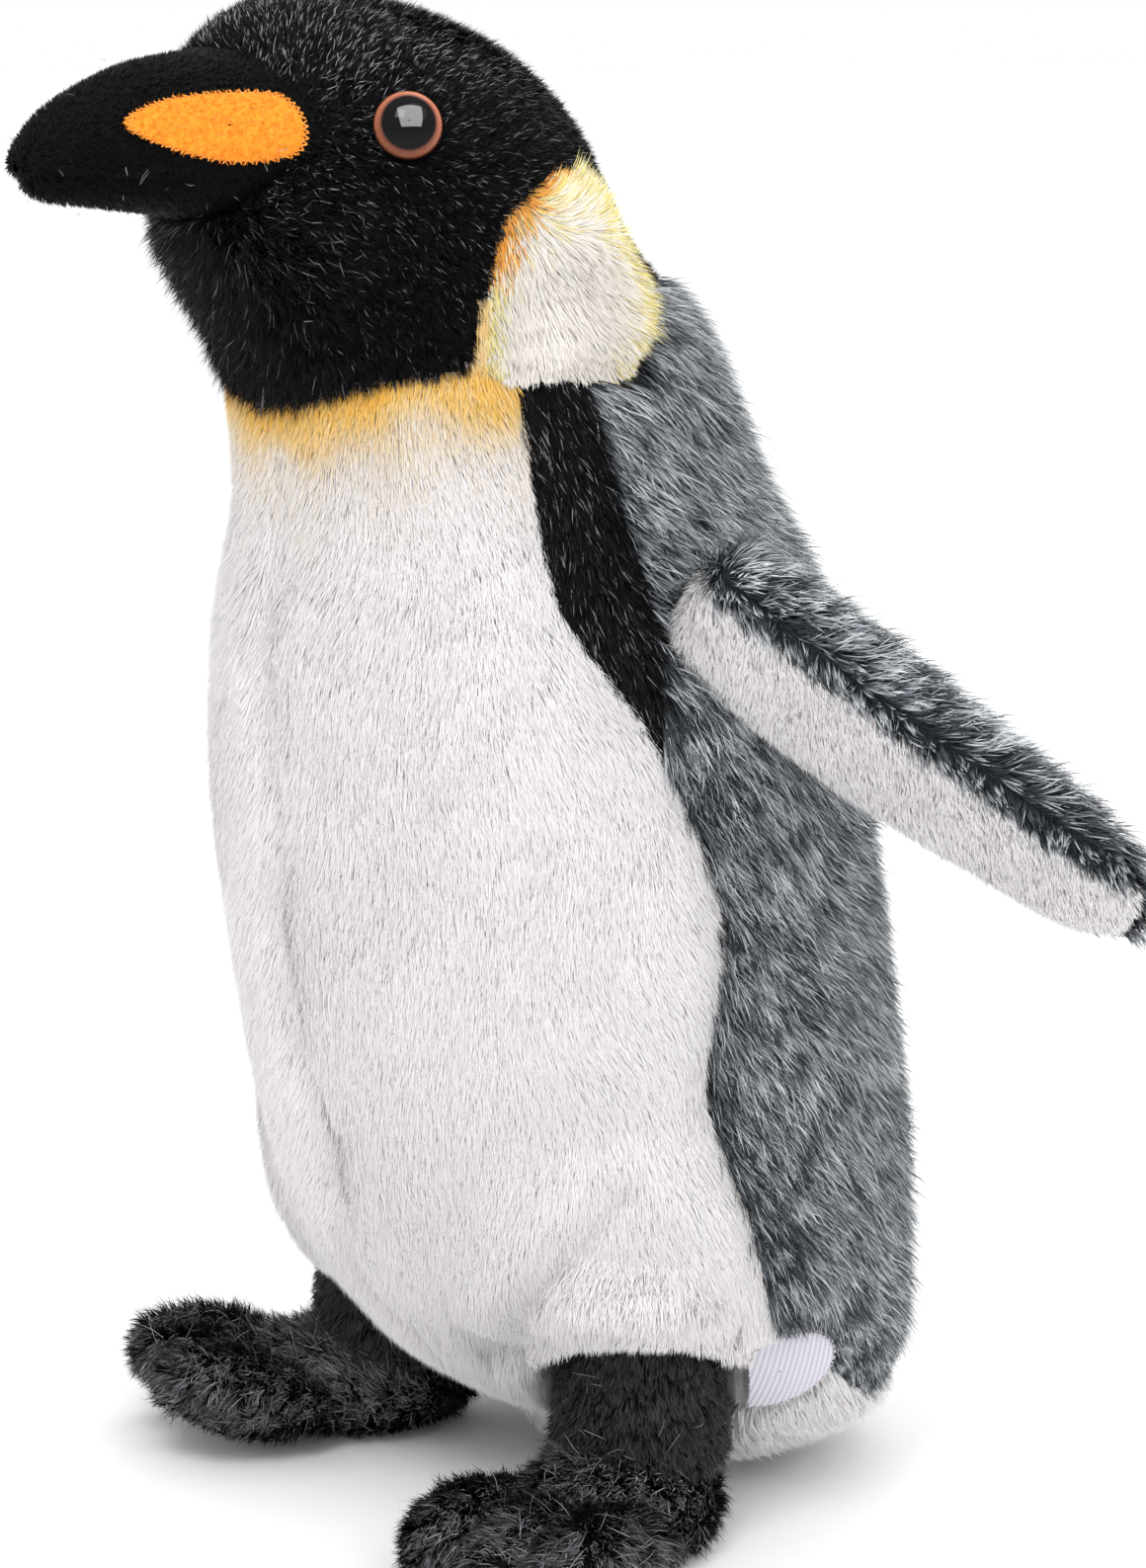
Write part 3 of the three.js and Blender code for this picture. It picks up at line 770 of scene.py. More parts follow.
def eye_paint():
    """Black pupil, copper iris ring and black rim by distance from the eye's axis. Places
    and axis are folded into one corner of space, so one paint serves both eyes."""
    m = Material("eye_paint")
    folded = m.vector("ABSOLUTE", m.place())
    from_eye = m.vector("SUBTRACT", folded, np.abs(EYE_AT) * MM)
    crossed = m.vector("CROSS_PRODUCT", from_eye, np.abs(unit(EYE_LOOK)))
    share = m.node("ShaderNodeMath", operation="DIVIDE")
    m.link(m.vector("LENGTH", crossed), share.inputs[0])
    share.inputs[1].default_value = EYE_RADIUS * MM
    stops = [
        (0, "010101"), (0.74, "020202"), (0.77, "2c1610"), (0.83, "4c2b1f"),
        (0.92, "603828"), (0.955, "321a10"), (0.975, "0c0606"), (1, "080505"),
    ]
    return m.surface(m.ramp(share.outputs["Value"], stops), 0.3, 0.0, coat=0.3)


# The light end of the tip ramp colours painted highlights: glint fibres and the lighter crown.
BLACK_FIBRE = fibre(
    "black_pile",
    roots=[(0, "050506"), (0.8, "070708"), (1, "1e1e22")],
    tips=[(0, "070708"), (0.7, "101012"), (0.9, "36363a"), (1, "bcbcc2")],
    roughness=0.5, specular=0.1,
)
WHITE_FIBRE = fibre(
    "white_pile",
    roots=[(0, "f0edee"), (0.6, "f3efef"), (0.72, "efdcc0"), (0.85, "ecc479"), (1, "e8a93c")],
    tips=[(0, "f8f5f5"), (0.6, "faf7f7"), (0.72, "f6e6cb"), (0.85, "fbcd62"), (1, "fbb42a")],
    roughness=0.7, specular=0.25,
)
EAR_FIBRE = fibre(
    "ear_pile",
    roots=[(0, "f8f0e6"), (0.45, "f8efe2"), (0.6, "f2e6a8"), (0.85, "eeb666"), (1, "ec9f42")],
    tips=[
        (0, "fffaf4"), (0.45, "fffaf2"), (0.6, "fbf3a6"),
        (0.8, "fbdf7a"), (0.9, "fdae4a"), (1, "fba23c"),
    ],
    roughness=0.7, specular=0.25,
)
GREY_FIBRE = fibre(
    "grey_pile",
    roots=[(0, "101316"), (0.5, "1b1f23"), (0.8, "30353a"), (1, "565c62")],
    tips=[(0, "1c2024"), (0.3, "3c4249"), (0.5, "7d848c"), (0.75, "b9c0c7"), (1, "eef1f4")],
    roughness=0.55, specular=0.35,
)
FOOT_FIBRE = fibre(
    "foot_pile",
    roots=[(0, "141415"), (1, "303033")],
    tips=[(0, "28282a"), (0.5, "545457"), (0.85, "88888d"), (1, "bcbcc0")],
    roughness=0.6, specular=0.15,
)
LINT_FIBRE = fibre(
    "lint",
    roots=[(0, "6a6a70"), (1, "a8a8ae")],
    tips=[(0, "7c7c82"), (1, "c4c4ca")],
    roughness=0.6, specular=0.3,
)
FELT_FIBRE = fibre(
    "felt_fuzz",
    roots=[(0, "e8811c"), (1, "f0902c")],
    tips=[(0, "f58f28"), (0.8, "ff9f3a"), (1, "ffbf70")],
    roughness=0.8, specular=0.15,
)
BLACK_CLOTH = woven("black_backing", "08080a", "141416")
WHITE_CLOTH = woven("white_backing", "e4dfdf", "f2efee")
CREAM_CLOTH = woven("cream_backing", "d8cbb8", "e6dac8")
GREY_CLOTH = woven("grey_backing", "1c2025", "2e353c")
FILLING = woven("polyester_filling", "dedbd2", "f6f4ee", 300)
WASHER = woven("washer_plastic", "dcdcda", "e8e8e6", 200)
BAG_CLOTH = woven("bag_cloth", "cfcfca", "e0e0dc", 1200)
FELT = felt("orange_felt", "f08a1e", "ffa336")
THREAD = felt("orange_thread", "f08c24", "ffab48")
LABEL_CLOTH = ribbed_cloth("label_cloth", "c4c0cc", "dcd9e2")
EYE_PAINT = eye_paint()


# ---------------------------------------------------------------- stage
LAMP_DISTANCE = 900
CAMERA_DISTANCE = 700


def towards(azimuth, elevation):
    """The direction from the toy to a place round it, from angles in degrees."""
    a, e = math.radians(azimuth), math.radians(elevation)
    return np.array([math.sin(a) * math.cos(e), -math.cos(a) * math.cos(e), math.sin(e)])


def looking_back(name, data, away, place):
    """A lamp or camera at a place, looking against the direction away."""
    made = bpy.data.objects.new(name, data)
    made.location = np.asarray(place) * MM
    made.rotation_euler = Vector(away).to_track_quat("Z", "Y").to_euler()
    bpy.context.scene.collection.objects.link(made)
    return made


def studio():
    """Pale floor and white surroundings."""
    scene = bpy.context.scene
    scene.view_settings.view_transform = "Standard"
    world = bpy.data.worlds.new("studio")
    world.use_nodes = True
    world.node_tree.nodes["Background"].inputs["Color"].default_value = (1, 1, 1, 1)
    world.node_tree.nodes["Background"].inputs["Strength"].default_value = 1.0
    scene.world = world
    reach = 40000
    edge = [(-reach, -reach, 0), (reach, -reach, 0), (reach, reach, 0), (-reach, reach, 0)]
    floor = mesh_object("floor", np.array(edge), np.array([[0, 1, 2, 3]]))
    m = Material("floor_paint")
    pale = m.ramp(m.noise(3), [(0.3, "f6f6f6"), (0.7, "f9f9f9")])
    floor.data.materials.append(m.surface(pale, 0.9, 0.2))


def lamp(name, azimuth, elevation, size, power):
    """A soft square lamp aimed at the middle of the toy."""
    data = bpy.data.lights.new(name, "AREA")
    data.shape = "SQUARE"
    data.size = size * MM
    data.energy = power
    away = towards(azimuth, elevation)
    return looking_back(name, data, away, np.array([0, -10, 130]) + away * LAMP_DISTANCE)


def sun(name, azimuth, elevation, strength):
    """Wide even light from one side."""
    data = bpy.data.lights.new(name, "SUN")
    data.energy = strength
    data.angle = math.radians(50)
    looking_back(name, data, towards(azimuth, elevation), (0, 0, 0))


def camera():
    data = bpy.data.cameras.new("camera")
    data.sensor_fit = "HORIZONTAL"
    data.sensor_width = 36
    data.lens = 124.9
    away = towards(54, 10.5)
    place = np.array([0, -9.9, 124.5]) + away * CAMERA_DISTANCE
    bpy.context.scene.camera = looking_back("camera", data, away, place)


studio()
sun("daylight", 95, 50, 0.85)
lamp("key", 36, 48, 300, 2.6)
lamp("rim", 215, 55, 500, 1.5)
camera()

# ---------------------------------------------------------------- panels of the body
SIDES = (("left", 1), ("right", -1))
ENDINGS = {1: "_left", -1: "_right", 0: ""}

BODY_FORM = body_form()
BELLY_EDGE = through(BELLY_LINE)
STRIPE_EDGE = through(STRIPE_BACK)
EAR_EDGE = through(EAR_OUTLINE, closed=True)


def both(form):
    """The form as made for the left and mirrored for the right: word, side and shape."""
    for word, side in SIDES:
        yield word, side, form if side > 0 else form.mirrored()


def everywhere(points):
    return np.ones(len(points), bool)


def nowhere(points):
    return np.zeros(len(points), bool)


def line_at(line, z):
    """How far back a seam line runs at each height."""
    order = np.argsort(line[:, 1])
    return np.interp(z, line[order, 1], line[order, 0])


def panel_of(points):
    """The name of the body panel at each point of the body's surface."""
    y, z = points[:, 1], points[:, 2]
    head = np.where(y < CHEEK[0], z > height_at(THROAT_LINE, y), z > CHEEK[1] - 0.6)
    stripe = (z > STRIPE_END) & (y < line_at(STRIPE_EDGE, z))
    hollow = under_thigh(points) & (z < CUFF_RIM + 1) & (y > -20)
    names = np.full(len(points), "back", dtype="<U12")
    names[stripe] = "side_stripe"
    names[y < line_at(BELLY_EDGE, z)] = "belly"
    names[head] = "head_side"
    names[(z < height_at(BASE_LINE, y)) | hollow] = "base_panel"
    names[inside_outline(points[:, 1:], EAR_EDGE) & (np.abs(points[:, 0]) > 10)] = "ear_patch"
    return names


def on_panel(panel, side):
    """A test for points on one panel, on one side of the middle if side is 1 or -1."""

    def keep(points):
        chosen = (panel_of(points) == panel) & (points[:, 0] * side >= 0)
        return chosen & ~inside_thigh(points, -1.5)

    return keep


def ride(pieces, body):
    for piece in pieces:
        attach(piece, body)


def fabric(name, form, keep, cloth, node=None):
    """One padded panel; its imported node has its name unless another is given."""
    panel = skin(f"{name}_fabric", form, keep, cloth, node or name)
    return panel


def body_panel(name, cloth, pile, dress, seed, sides=(1, -1), node=None, bare=nowhere):
    """A panel of the body with its pile, or a pair of them. No pile grows where bare is true."""
    for side in sides:
        title, first = name + ENDINGS[side], seed + side
        keep = on_panel(node or name, side)

        def furred(points):
            return keep(points) & ~bare(points)

        made = [fabric(title, BODY_FORM, keep, cloth, (node or name) + ENDINGS[side])]
        made += fur(f"{title}_pile", BODY_FORM, furred, pile, dress, (first, first + 20, first + 40))
        ride(made, "torso")


def under_face(points):
    """Where the beak and the eyes cover the head."""
    x, y, z = points.T
    in_beak = (y < -80) & ((x / 23) ** 2 + ((z - 238.3) / 13) ** 2 < 1)
    from_eye = np.stack([np.abs(x), y, z], -1) - EYE_AT
    return in_beak | (np.linalg.norm(from_eye, axis=1) < EYE_RADIUS + 0.2)


def head_dress(roots, normals, rng):
    """Short black fibres, longer under the chin and at the throat; light fibres and a lighter crown
    are painted highlights.
    """
    x, y, z = roots.T
    low = fade(z, 206, 196)
    chin = fade(y, -68, -76) * fade(z, 231, 223)
    rise = np.clip((z - 225) / 25, -1, 1)
    nap = np.stack([0.25 * x / 40, 0.75 + 0 * y, -0.45 + 0.75 * rise - 0.8 * low], -1)
    dye = 0.8 * rng.random(len(roots)) ** 2
    # painted highlights: a share of fibres, growing towards the top, dyed light as glints
    painted_glint = rng.random(len(roots)) < 0.04 + 0.08 * fade(z, 205, 245)
    dye[painted_glint] = rng.uniform(0.87, 0.97, painted_glint.sum())
    # painted highlight: the crown's fibres are dyed lighter
    return nap, dye + 0.18 * fade(z, 243, 257), 1 + 0.8 * low + 1.3 * chin


def head():
    pile = Pile(BLACK_FIBRE, 11, 2.2, 16, 50, width=0.2, jitter=24, tuft=1.5, uneven=0.3, swirl=30)
    body_panel("head", BLACK_CLOTH, pile, head_dress, 11, node="head_side",
               bare=under_face)


def ear_dress(roots, normals, rng):
    """Cream, brushed back along the upper rim, with yellow rims and an orange upper front."""
    count = len(roots)
    y, z = roots[:, 1] - EAR_CENTRE[0], roots[:, 2] - EAR_CENTRE[1]
    top = fade(z, 4, 13) * fade(y, -12, -2)
    rear = fade(y, 4, 14)
    nap = np.stack([0 * y, 0.12 + 0.6 * rear + 0.3 * top, -1 + 1.9 * top + 0.35 * rear], -1)
    rim = near_line(roots[:, 1:], EAR_EDGE)
    front = bell(rim, 2.2) * (y < 2) * (y < 0.9 * z)
    yellow = 0.8 * np.clip(rear + top, 0, 1) * bell(rim, 7) + 0.8 * front
    orange = front * fade(z, 1, 6)
    dye = 0.4 * rng.random(count)
    dye = np.where(rng.random(count) < yellow, 0.55 + 0.2 * rng.random(count), dye)
    dye = np.where(rng.random(count) < orange, 0.86 + 0.13 * rng.random(count), dye)
    return nap, dye, (1 - 0.45 * front) * np.clip((z + 14) / 7, 0.4, 1)


def ear_patches():
    pile = Pile(EAR_FIBRE, 12, 5.4, 44, 70, width=0.22, joints=3, jitter=9, tuft=4, gather=0.15,
                sparkle=0.1)
    body_panel("ear_patch", CREAM_CLOTH, pile, ear_dress, 12)


def belly_dress(roots, normals, rng):
    """White, with gold under the black head that fades to cream further down."""
    count = len(roots)
    x, y, z = roots.T
    nap = np.stack([0.18 * np.sign(x) * bell(x, 8), 0.12 + 0 * y, -1 + 0 * z], -1)
    down = np.clip(height_at(THROAT_LINE, y) - z + 1.5 * waves(roots, 9, 83), 0, None)
    dye = 0.55 * rng.random(count)
    tinted = rng.random(count) < np.clip(1.3 - down / 19, 0, 1)
    gold = np.clip(1 - down / 15, 0, 1) ** 1.6 - 0.45 * fade(z, 201, 204)
    dye = np.where(tinted, 0.66 + 0.33 * gold * rng.uniform(0.5, 1.05, count), dye)
    return nap, dye, 1 - 0.25 * fade(z, 185, 195)


def bellies():
    pile = Pile(WHITE_FIBRE, 14, 4.8, 46, 74, width=0.18, jitter=8, tuft=6, gather=0.06,
                uneven=0.08, sparkle=0.06)
    body_panel("belly", WHITE_CLOTH, pile, belly_dress, 13)


def stripe_dress(roots, normals, rng):
    dye = 0.92 * rng.random(len(roots)) ** 1.1
    # painted highlights: one fibre in twenty is dyed light as a glint
    dye[rng.random(len(roots)) < 0.05] = 0.96
    return np.array([0, 0.1, -1.0]), dye, 1.0


def side_stripes():
    pile = Pile(BLACK_FIBRE, 9, 4.5, 40, 70, width=0.23, jitter=10, tuft=2.6)
    body_panel("side_stripe", BLACK_CLOTH, pile, stripe_dress, 14)


def frosted(roots, rng, seed):
    """Dyes of frosted fur: light and dark fibres in fine locks."""
    locks = tuft_centres(roots, 1.5, seed)
    same = np.sin(locks @ np.array([41.3, 17.9, 63.1]))
    return np.clip(0.48 + 0.4 * same + 0.2 * rng.normal(size=len(roots)), 0, 1)


def under_label(points):
    y, z = points[:, 1] - LABEL_AT[0], points[:, 2] - LABEL_AT[1]
    return (points[:, 0] > 0) & ((y / LABEL_HALF[0]) ** 2 + (z / LABEL_HALF[1]) ** 2 < 1)


def back_dress(roots, normals, rng):
    """Frosted grey, shorter towards the base; painted shade darkens it along the belly seam and
    painted light brightens it towards the shoulders.
    """
    y, z = roots[:, 1], roots[:, 2]
    seam = near_line(roots[:, 1:], BELLY_EDGE)
    # painted shade along the belly seam's crease and painted light towards the shoulders
    dye = frosted(roots, rng, 61) - 0.2 * bell(seam, 5) + 0.12 * fade(z, 130, 180)
    hem = z - height_at(BASE_LINE, y)
    return np.array([0, 0.42, -1.0]), dye, np.clip(hem / 12, 0.3, 1)


def back():
    pile = Pile(GREY_FIBRE, 6.5, 7.4, 42, 72, width=0.25, joints=3, jitter=14, gather=0.4,
                uneven=0.25, swirl=14)
    body_panel("back", GREY_CLOTH, pile, back_dress, 15, sides=(0,), bare=under_label)


def base_dress(roots, normals, rng):
    """White, brushed outwards and short near the floor."""
    nap = np.array([0, 0.3, -1.0]) + normals * np.array([1, 1, 0])
    low = np.clip((roots[:, 2] - 1) / 6, 0.15, 1)
    return nap, 0.55 * rng.random(len(roots)), low


def base():
    def bare(points):
        return (points[:, 2] <= 2.5) | under_label(points)

    pile = Pile(WHITE_FIBRE, 5, 4.2, 35, 65, width=0.28)
    body_panel("base_panel", WHITE_CLOTH, pile, base_dress, 16, sides=(0,),
               bare=bare)


def thigh_dress(roots, normals, rng):
    hem = np.clip((roots[:, 2] - CUFF_RIM) / 9, 0.5, 1)
    return np.array([0, -0.25, -1.0]), 0.55 * rng.random(len(roots)), hem


def thighs():
    pile = Pile(WHITE_FIBRE, 13, 4.6, 44, 72, width=0.19, tuft=4.5, gather=0.1, uneven=0.14,
                sparkle=0.06)

    def keep(points):
        return ~inside_body(points, -1.5)

    for word, side, shape in both(thigh_form()):
        made = [fabric(f"thigh_{word}", shape, keep, WHITE_CLOTH)]
        seeds = (17 + side, 37 + side, 57 + side)
        made += fur(f"thigh_{word}_pile", shape, keep, pile, thigh_dress, seeds)
        ride(made, "torso")


# ---------------------------------------------------------------- flippers
WING_PARTING = 9.6  # the nap divides this far up the flipper's chord
WHITE_EDGE = 6.3  # and the white underside starts here
WING_BLEND = (1, 15)  # distances from the shoulder along the flipper; the fabric does not bend between them


def wing_places(points, side):
    """Chord, outwards and length coordinates of points on one flipper."""
    left = points * np.array([side, 1, 1])
    return ((left - SHOULDER) @ np.array(wing_frame()).T).T


def on_wing(made, word, side):
    axis = wing_frame()[2]
    start, end = ((SHOULDER + axis * reach) * np.array([side, 1, 1]) * MM for reach in WING_BLEND)
    for piece in made:
        tuple(start)
        tuple(end)
        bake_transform(piece)


def wings():
    outer_pile = Pile(GREY_FIBRE, 6, 6.4, 40, 72, width=0.28, joints=3, jitter=12, tuft=3.6,
                      gather=0.5, uneven=0.22)
    inner_pile = Pile(WHITE_FIBRE, 10, 2.4, 30, 64, width=0.2, jitter=12, gather=0.15, sparkle=0.12)
    chord, out, axis = wing_frame()
    for word, side, shape in both(wing_form()):
        flip = np.array([side, 1, 1])

        def white(points):
            c, o, reach = wing_places(points, side)
            return (o > 0) & (c < WHITE_EDGE)

        def outer(points):
            return ~white(points) & ~inside_body(points, -2)

        def inner(points):
            return white(points) & ~inside_body(points, -2)

        def outer_dress(roots, normals, rng):
            """Frosted grey, brushed apart on the inside along a parting, where painted shade darkens
            the fibres.
            """
            c, o, reach = wing_places(roots, side)
            strip = (o > 0) & (c < WING_PARTING)
            up = np.where(strip, -0.75, np.where(o > 0, 0.75, -0.15))
            parting = bell(c - WING_PARTING, 2.2) * (o > 0) * fade(reach, 3, 15)
            hem = (o < 0) * fade(c, -3, -9)
            nap = (0.9 * axis + up[:, None] * chord) * flip
            # painted shade: fibres along the parting are dyed darker
            dye = frosted(roots, rng, 63) + 0.13 - 0.3 * parting
            return nap, dye, 1 - 0.3 * parting - 0.45 * strip - 0.75 * hem

        def inner_dress(roots, normals, rng):
            return (0.9 * axis - 0.5 * chord) * flip, 0.5 * rng.random(len(roots)), 1.0

        rng = np.random.default_rng(38 + side)
        made = [
            fabric(f"wing_outer_{word}", shape, outer, GREY_CLOTH),
            fabric(f"wing_inner_{word}", shape, inner, WHITE_CLOTH),
        ]
        seeds = (18 + side, rng, 58 + side)
        made += fur(f"wing_outer_{word}_pile", shape, outer, outer_pile, outer_dress, seeds)
        seeds = (19 + side, rng, 59 + side)
        made += fur(f"wing_inner_{word}_pile", shape, inner, inner_pile, inner_dress, seeds)
        on_wing(made, word, side)


# ---------------------------------------------------------------- legs and feet
TOE_LIFT = {"left": 1.5, "right": 8.0}


def foot_blank():
    """Instep and three toes joined into one smooth stuffed shape, in the ankle's frame."""
    pillows = [((0, -8, 8), (15.5, 21, FOOT_HEIGHT - 9))]
    for x in TOES:
        pillows.append(((x, -31, 7), (7.9, 18 if x == 0 else 16, 7)))
    rows, columns = 16, 24
    up = np.linspace(0.02, math.pi - 0.02, rows)[:, None]
    turn = np.arange(columns)[None] / columns * 2 * math.pi
    level = np.sin(up)
    ball = np.stack([level * np.cos(turn), level * np.sin(turn), -np.cos(up) + 0 * turn], -1)
    parts = [rings(ball * np.array(halves) + np.array(centre)) for centre, halves in pillows]
    faces = np.vstack([part.faces + n * rows * columns for n, part in enumerate(parts)])
    blank = mesh_object("foot_blank", np.vstack([part.points for part in parts]), faces)
    remesh = blank.modifiers.new("join", "REMESH")
    remesh.mode = "VOXEL"
    remesh.voxel_size = 1.6 * MM
    soften = blank.modifiers.new("soften", "SMOOTH")
    soften.iterations = 5
    form = taken(blank)
    z = form.points[:, 2]
    held = (z < 1.5) | (z > FOOT_HEIGHT - 3)
    return Form(form.points + under_pressure(form, held, 0.8), form.faces)


def toe_rise(y, lift):
    """How far lifted toes raise the foot, at places that far behind the ankle."""
    return lift * np.clip((-y - 6) / 40, 0, 1.1) ** 1.6


def foot_form(blank, lift):
    """A left foot at its ankle, turned outwards, with its toes lifted by that much."""
    points = blank.points.copy()
    points[:, 2] = np.maximum(points[:, 2], 0.4) + toe_rise(points[:, 1], lift)
    c, s = math.cos(FOOT_SPLAY), math.sin(FOOT_SPLAY)
    points = points @ np.array([[c, s, 0], [-s, c, 0], [0, 0, 1]]) + ANKLE
    form = Form(points, blank.faces)
    return form.moved(0.5 * waves(form.points, 11, 21))


def sole_dress(roots, normals, rng):
    return np.array([0, -0.8, 0.1]) + normals * 0.5, 0.4, 0.6


def feet():
    pile = Pile(FOOT_FIBRE, 6.5, 3.6, 22, 60, width=0.26, jitter=24, tuft=3.2, gather=0.7,
                uneven=0.3, swirl=60)
    sole_pile = dataclasses.replace(pile, density=2.5)
    blank = foot_blank()
    for word, side in SIDES:
        form = foot_form(blank, TOE_LIFT[word])
        shape = form if side > 0 else form.mirrored()

        def sole(points):
            return points[:, 2] < 3 + toe_rise(points[:, 1] - ANKLE[1], TOE_LIFT[word])

        def above(points):
            return ~sole(points)

        def furred_sole(points):
            return sole(points) & (points[:, 2] > 0.9)

        def instep_dress(roots, normals, rng):
            dye = 0.22 + 0.75 * rng.random(len(roots)) ** 1.2
            return np.array([0.15 * side, -0.8, -0.35]), dye, 1.0

        upper, under = f"foot_upper_{word}", f"foot_sole_{word}"
        made = [
            fabric(upper, shape, above, BLACK_CLOTH),
            fabric(under, shape, sole, BLACK_CLOTH),
        ]
        seeds = (22 + side, 39 + side, 62 + side)
        made += fur(f"{upper}_pile", shape, above, pile, instep_dress, seeds)
        seeds = (23 + side, 0, 64 + side)
        made += fur(f"{under}_pile", shape, furred_sole, sole_pile, sole_dress, seeds)
        made += loose_fibres(f"foot_{word}_lint", shape, above, 240, 66 + side, length=4.4)
        node = f"foot_stuffing_{word}"
        made.append(skin(f"foot_{word}_filling", shape.moved(-2.0), everywhere, FILLING, node))
        ride(made, f"leg_{word}")


def leg_dress(roots, normals, rng):
    return np.array([0, -0.1, -1.0]), 0.45 * rng.random(len(roots)), 1.0


def legs():
    pile = Pile(FOOT_FIBRE, 7.5, 2.6, 28, 60, width=0.24, jitter=16, tuft=2.4, gather=0.4)

    def furred(points):
        return (points[:, 2] > 15) & (points[:, 2] < 40)

    def in_sight(points):
        return (points[:, 2] > 15) & (points[:, 2] < 34)

    for word, side, shape in both(leg_form()):
        name = f"leg_{word}"
        made = [fabric(name, shape, everywhere, BLACK_CLOTH)]
        seeds = (24 + side, 40 + side, 68 + side)
        made += fur(f"{name}_pile", shape, furred, pile, leg_dress, seeds)
        made += loose_fibres(f"{name}_lint", shape, in_sight, 60, 80 + side, length=3.6)
        ride(made, name)


# ---------------------------------------------------------------- beak
def beak_dress(roots, normals, rng):
    return np.array([0, 0.9, -0.15]), 0.62 * rng.random(len(roots)) ** 1.4, 1.0


def beak():
    pile = Pile(BLACK_FIBRE, 9, 1.15, 25, 55, width=0.2, jitter=18, tuft=1.6, gather=0.3)
    form = beak_form()

    def upper(points):
        return ~inside_body(points, -1.5) & (points[:, 2] >= MOUTH_HEIGHT)

    def lower(points):
        return ~inside_body(points, -1.5) & (points[:, 2] < MOUTH_HEIGHT)

    for name, keep, seed in (("beak_upper", upper, 25), ("beak_lower", lower, 26)):
        made = [fabric(name, form, keep, BLACK_CLOTH)]
        made += fur(f"{name}_pile", form, keep, pile, beak_dress, (seed, seed, seed + 40))
        made += loose_fibres(f"{name}_lint", form, keep, 30, seed + 50, length=1.6)
        ride(made, "torso")


# ---------------------------------------------------------------- sewn-on shapes
PATCH_OUTLINE = [
    (-103.3, 240.4), (-97, 243.9), (-87.5, 245.1), (-81, 244.6),
    (-78.8, 240.5), (-80, 235.6), (-88, 234.4), (-97, 236.6),
]


def beside_beak(y, z):
    """How far out from the middle the beak's side is, at points in the side view."""
    rise, width, depth = smooth_line(BEAK, BEAK_ROOT[1] - y).T
    share = np.clip((z - BEAK_ROOT[2] - rise) / depth, -0.97, 0.97)
    return width * np.sqrt(1 - share**2)


def beside_body(y, z):
    """The same for the body."""
    middle, width, depth = body_section(z)
    share = np.clip((y - middle) / depth, -0.999, 0.999)
    return width * np.sqrt(1 - share**2)


def inlay(outline, side_of, thick, stand, around=96, steps=16):
    """A thin sewn-on shape over a surface: full in the middle, turned down at its rim."""
    edge = through(outline, around + 1, closed=True)[:-1]
    middle = edge.mean(axis=0)
    share = np.concatenate([np.linspace(0.02, 0.94, steps), [0.97, 0.99, 1.0, 1.0]])
    drop = np.concatenate([np.zeros(steps), [0.12, 0.35, 0.7, 1.0]]) * thick
    grid = []
    for k, inward in zip(share, drop):
        y, z = (middle + (edge - middle) * k).T
        grid.append(np.stack([side_of(y, z) + stand + thick - inward, y, z], -1))
    return rings(np.array(grid), outwards=np.array([1.0, 0, 0])), edge


def stitches(edge, side_of, stand, count, length, radius):
    """Short threads laid across the rim of a sewn-on shape, leaning to and fro."""
    around, along = 6, 5
    turn = np.arange(around)[:, None] / around * 2 * math.pi
    middle = edge.mean(axis=0)
    points, faces = [], []
    for n in range(count):
        k = int(n * len(edge) / count)
        rim = unit(edge[(k + 1) % len(edge)] - edge[k])
        lean = unit(unit(middle - edge[k]) + rim * (0.55 if n % 2 else -0.55))
        across = np.array([0, -lean[1], lean[0]])
        grid = []
        for share in np.linspace(-0.45, 0.55, along):
            y, z = edge[k] + lean * length * share
            bow = stand + 0.35 * radius - (abs(share) * 2) ** 2 * radius * 0.9
            core = np.array([side_of(np.array([y]), np.array([z]))[0] + bow, y, z])
            grid.append(core + radius * (np.cos(turn) * across + np.sin(turn) * [1, 0, 0]))
        thread = rings(np.array(grid))
        faces.append(thread.faces + n * around * along)
        points.append(thread.points)
    return np.vstack(points), np.vstack(faces)


def fuzz_dress(roots, normals, rng):
    return rng.normal(size=(len(roots), 3)), rng.random(len(roots)), 1.0


def beak_patches():
    form, edge = inlay(PATCH_OUTLINE, beside_beak, 0.9, 0.0)
    threads, quads = stitches(edge, beside_beak, 0.8, 90, 1.0, 0.13)
    fuzz = Pile(FELT_FIBRE, 5, 0.9, 55, 85, width=0.12, jitter=40, tuft=1.2, gather=0.5, swirl=180)
    for word, side, shape in both(form):
        name = f"beak_patch_{word}"
        patch = skin(f"{name}_felt", shape, everywhere, FELT, name)
        sewn = mesh_object(f"{name}_stitches", threads * np.array([side, 1, 1]), quads[:, ::side])
        sewn.data.materials.append(THREAD)
        seeds = (27 + side, 41 + side, 70 + side)
        ride([patch, sewn] + fur(f"{name}_fuzz", shape, everywhere, fuzz, fuzz_dress, seeds), "torso")


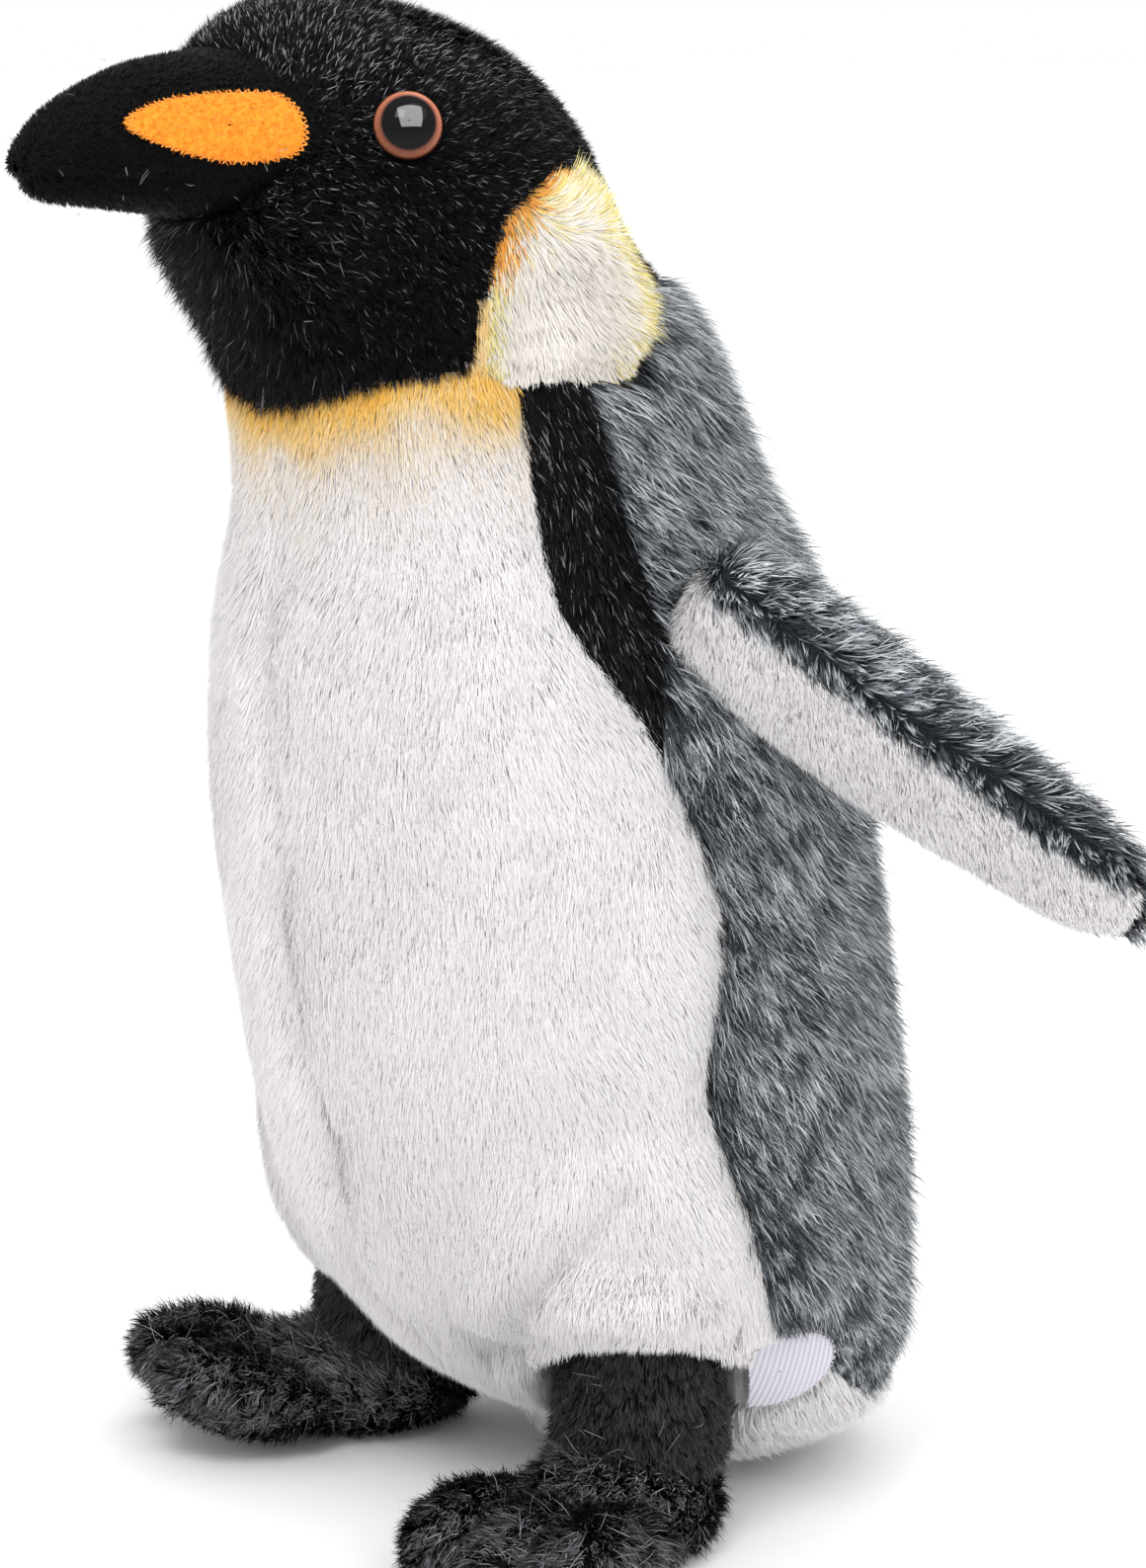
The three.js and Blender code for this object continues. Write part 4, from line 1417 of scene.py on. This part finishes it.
def label():
    turn = np.linspace(0, 2 * math.pi, 12, endpoint=False)
    oval = np.stack([np.cos(turn), np.sin(turn)], -1) * LABEL_HALF + LABEL_AT
    form, edge = inlay(oval, beside_body, 0.5, 0.6, around=120, steps=30)

    def shown(points):
        return ~inside_thigh(points, 0.4) & ~under_thigh(points)

    cloth = skin("base_label_cloth", form, shown, LABEL_CLOTH, "base_label")
    threads, quads = stitches(edge, beside_body, 1.0, 76, 1.1, 0.12)
    sewn = mesh_object("base_label_stitches", threads, quads[shown(threads)[quads].all(axis=1)])
    sewn.data.materials.append(LABEL_CLOTH)
    ride([cloth, sewn], "torso")


# ---------------------------------------------------------------- eyes
def turned_profile(profile, around=64):
    """Rings about the eye's axis from points of radius and distance outwards."""
    look = unit(EYE_LOOK)
    across = unit(np.cross(look, [0, 0, 1]))
    up = np.cross(across, look)
    turn = np.arange(around) / around * 2 * math.pi
    ring = np.cos(turn)[:, None] * across + np.sin(turn)[:, None] * up
    return np.array([EYE_AT + look * out + ring * radius for radius, out in profile])


def eyes():
    """Glossy buttons; one large soft box is there for their reflection alone."""
    catch_light = bpy.data.collections.new("eyes_only")
    soft_box = lamp("eye_light", 68, 44, 850, 60)
    soft_box.light_linking.receiver_collection = catch_light
    bend = np.linspace(0, math.pi / 2 - 0.02, 18)
    dome = [(EYE_RADIUS * math.cos(t), EYE_DOME * math.sin(t)) for t in bend]
    shank = [(0.05, -13), (2, -13), (2, -1.2), (EYE_RADIUS * 0.97, -1.2), (EYE_RADIUS, -0.7)]
    for word, side, shape in both(rings(turned_profile(shank + dome))):
        eye = skin(f"eye_{word}_button", shape, everywhere, EYE_PAINT, f"eye_{word}")
        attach(eye, "torso")
        catch_light.objects.link(eye)


# ---------------------------------------------------------------- inside
def paint(node, material):
    node.data.materials.clear()
    node.data.materials.append(material)


def insides():
    """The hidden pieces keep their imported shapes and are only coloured."""
    for name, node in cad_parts.items():
        if "stuffing" in name:
            paint(node, FILLING)
        elif "washer" in name:
            paint(node, WASHER)
        elif name == "pellet_bag":
            paint(node, BAG_CLOTH)


head()
ear_patches()
bellies()
side_stripes()
back()
base()
thighs()
wings()
legs()
feet()
beak()
beak_patches()
eyes()
label()
insides()
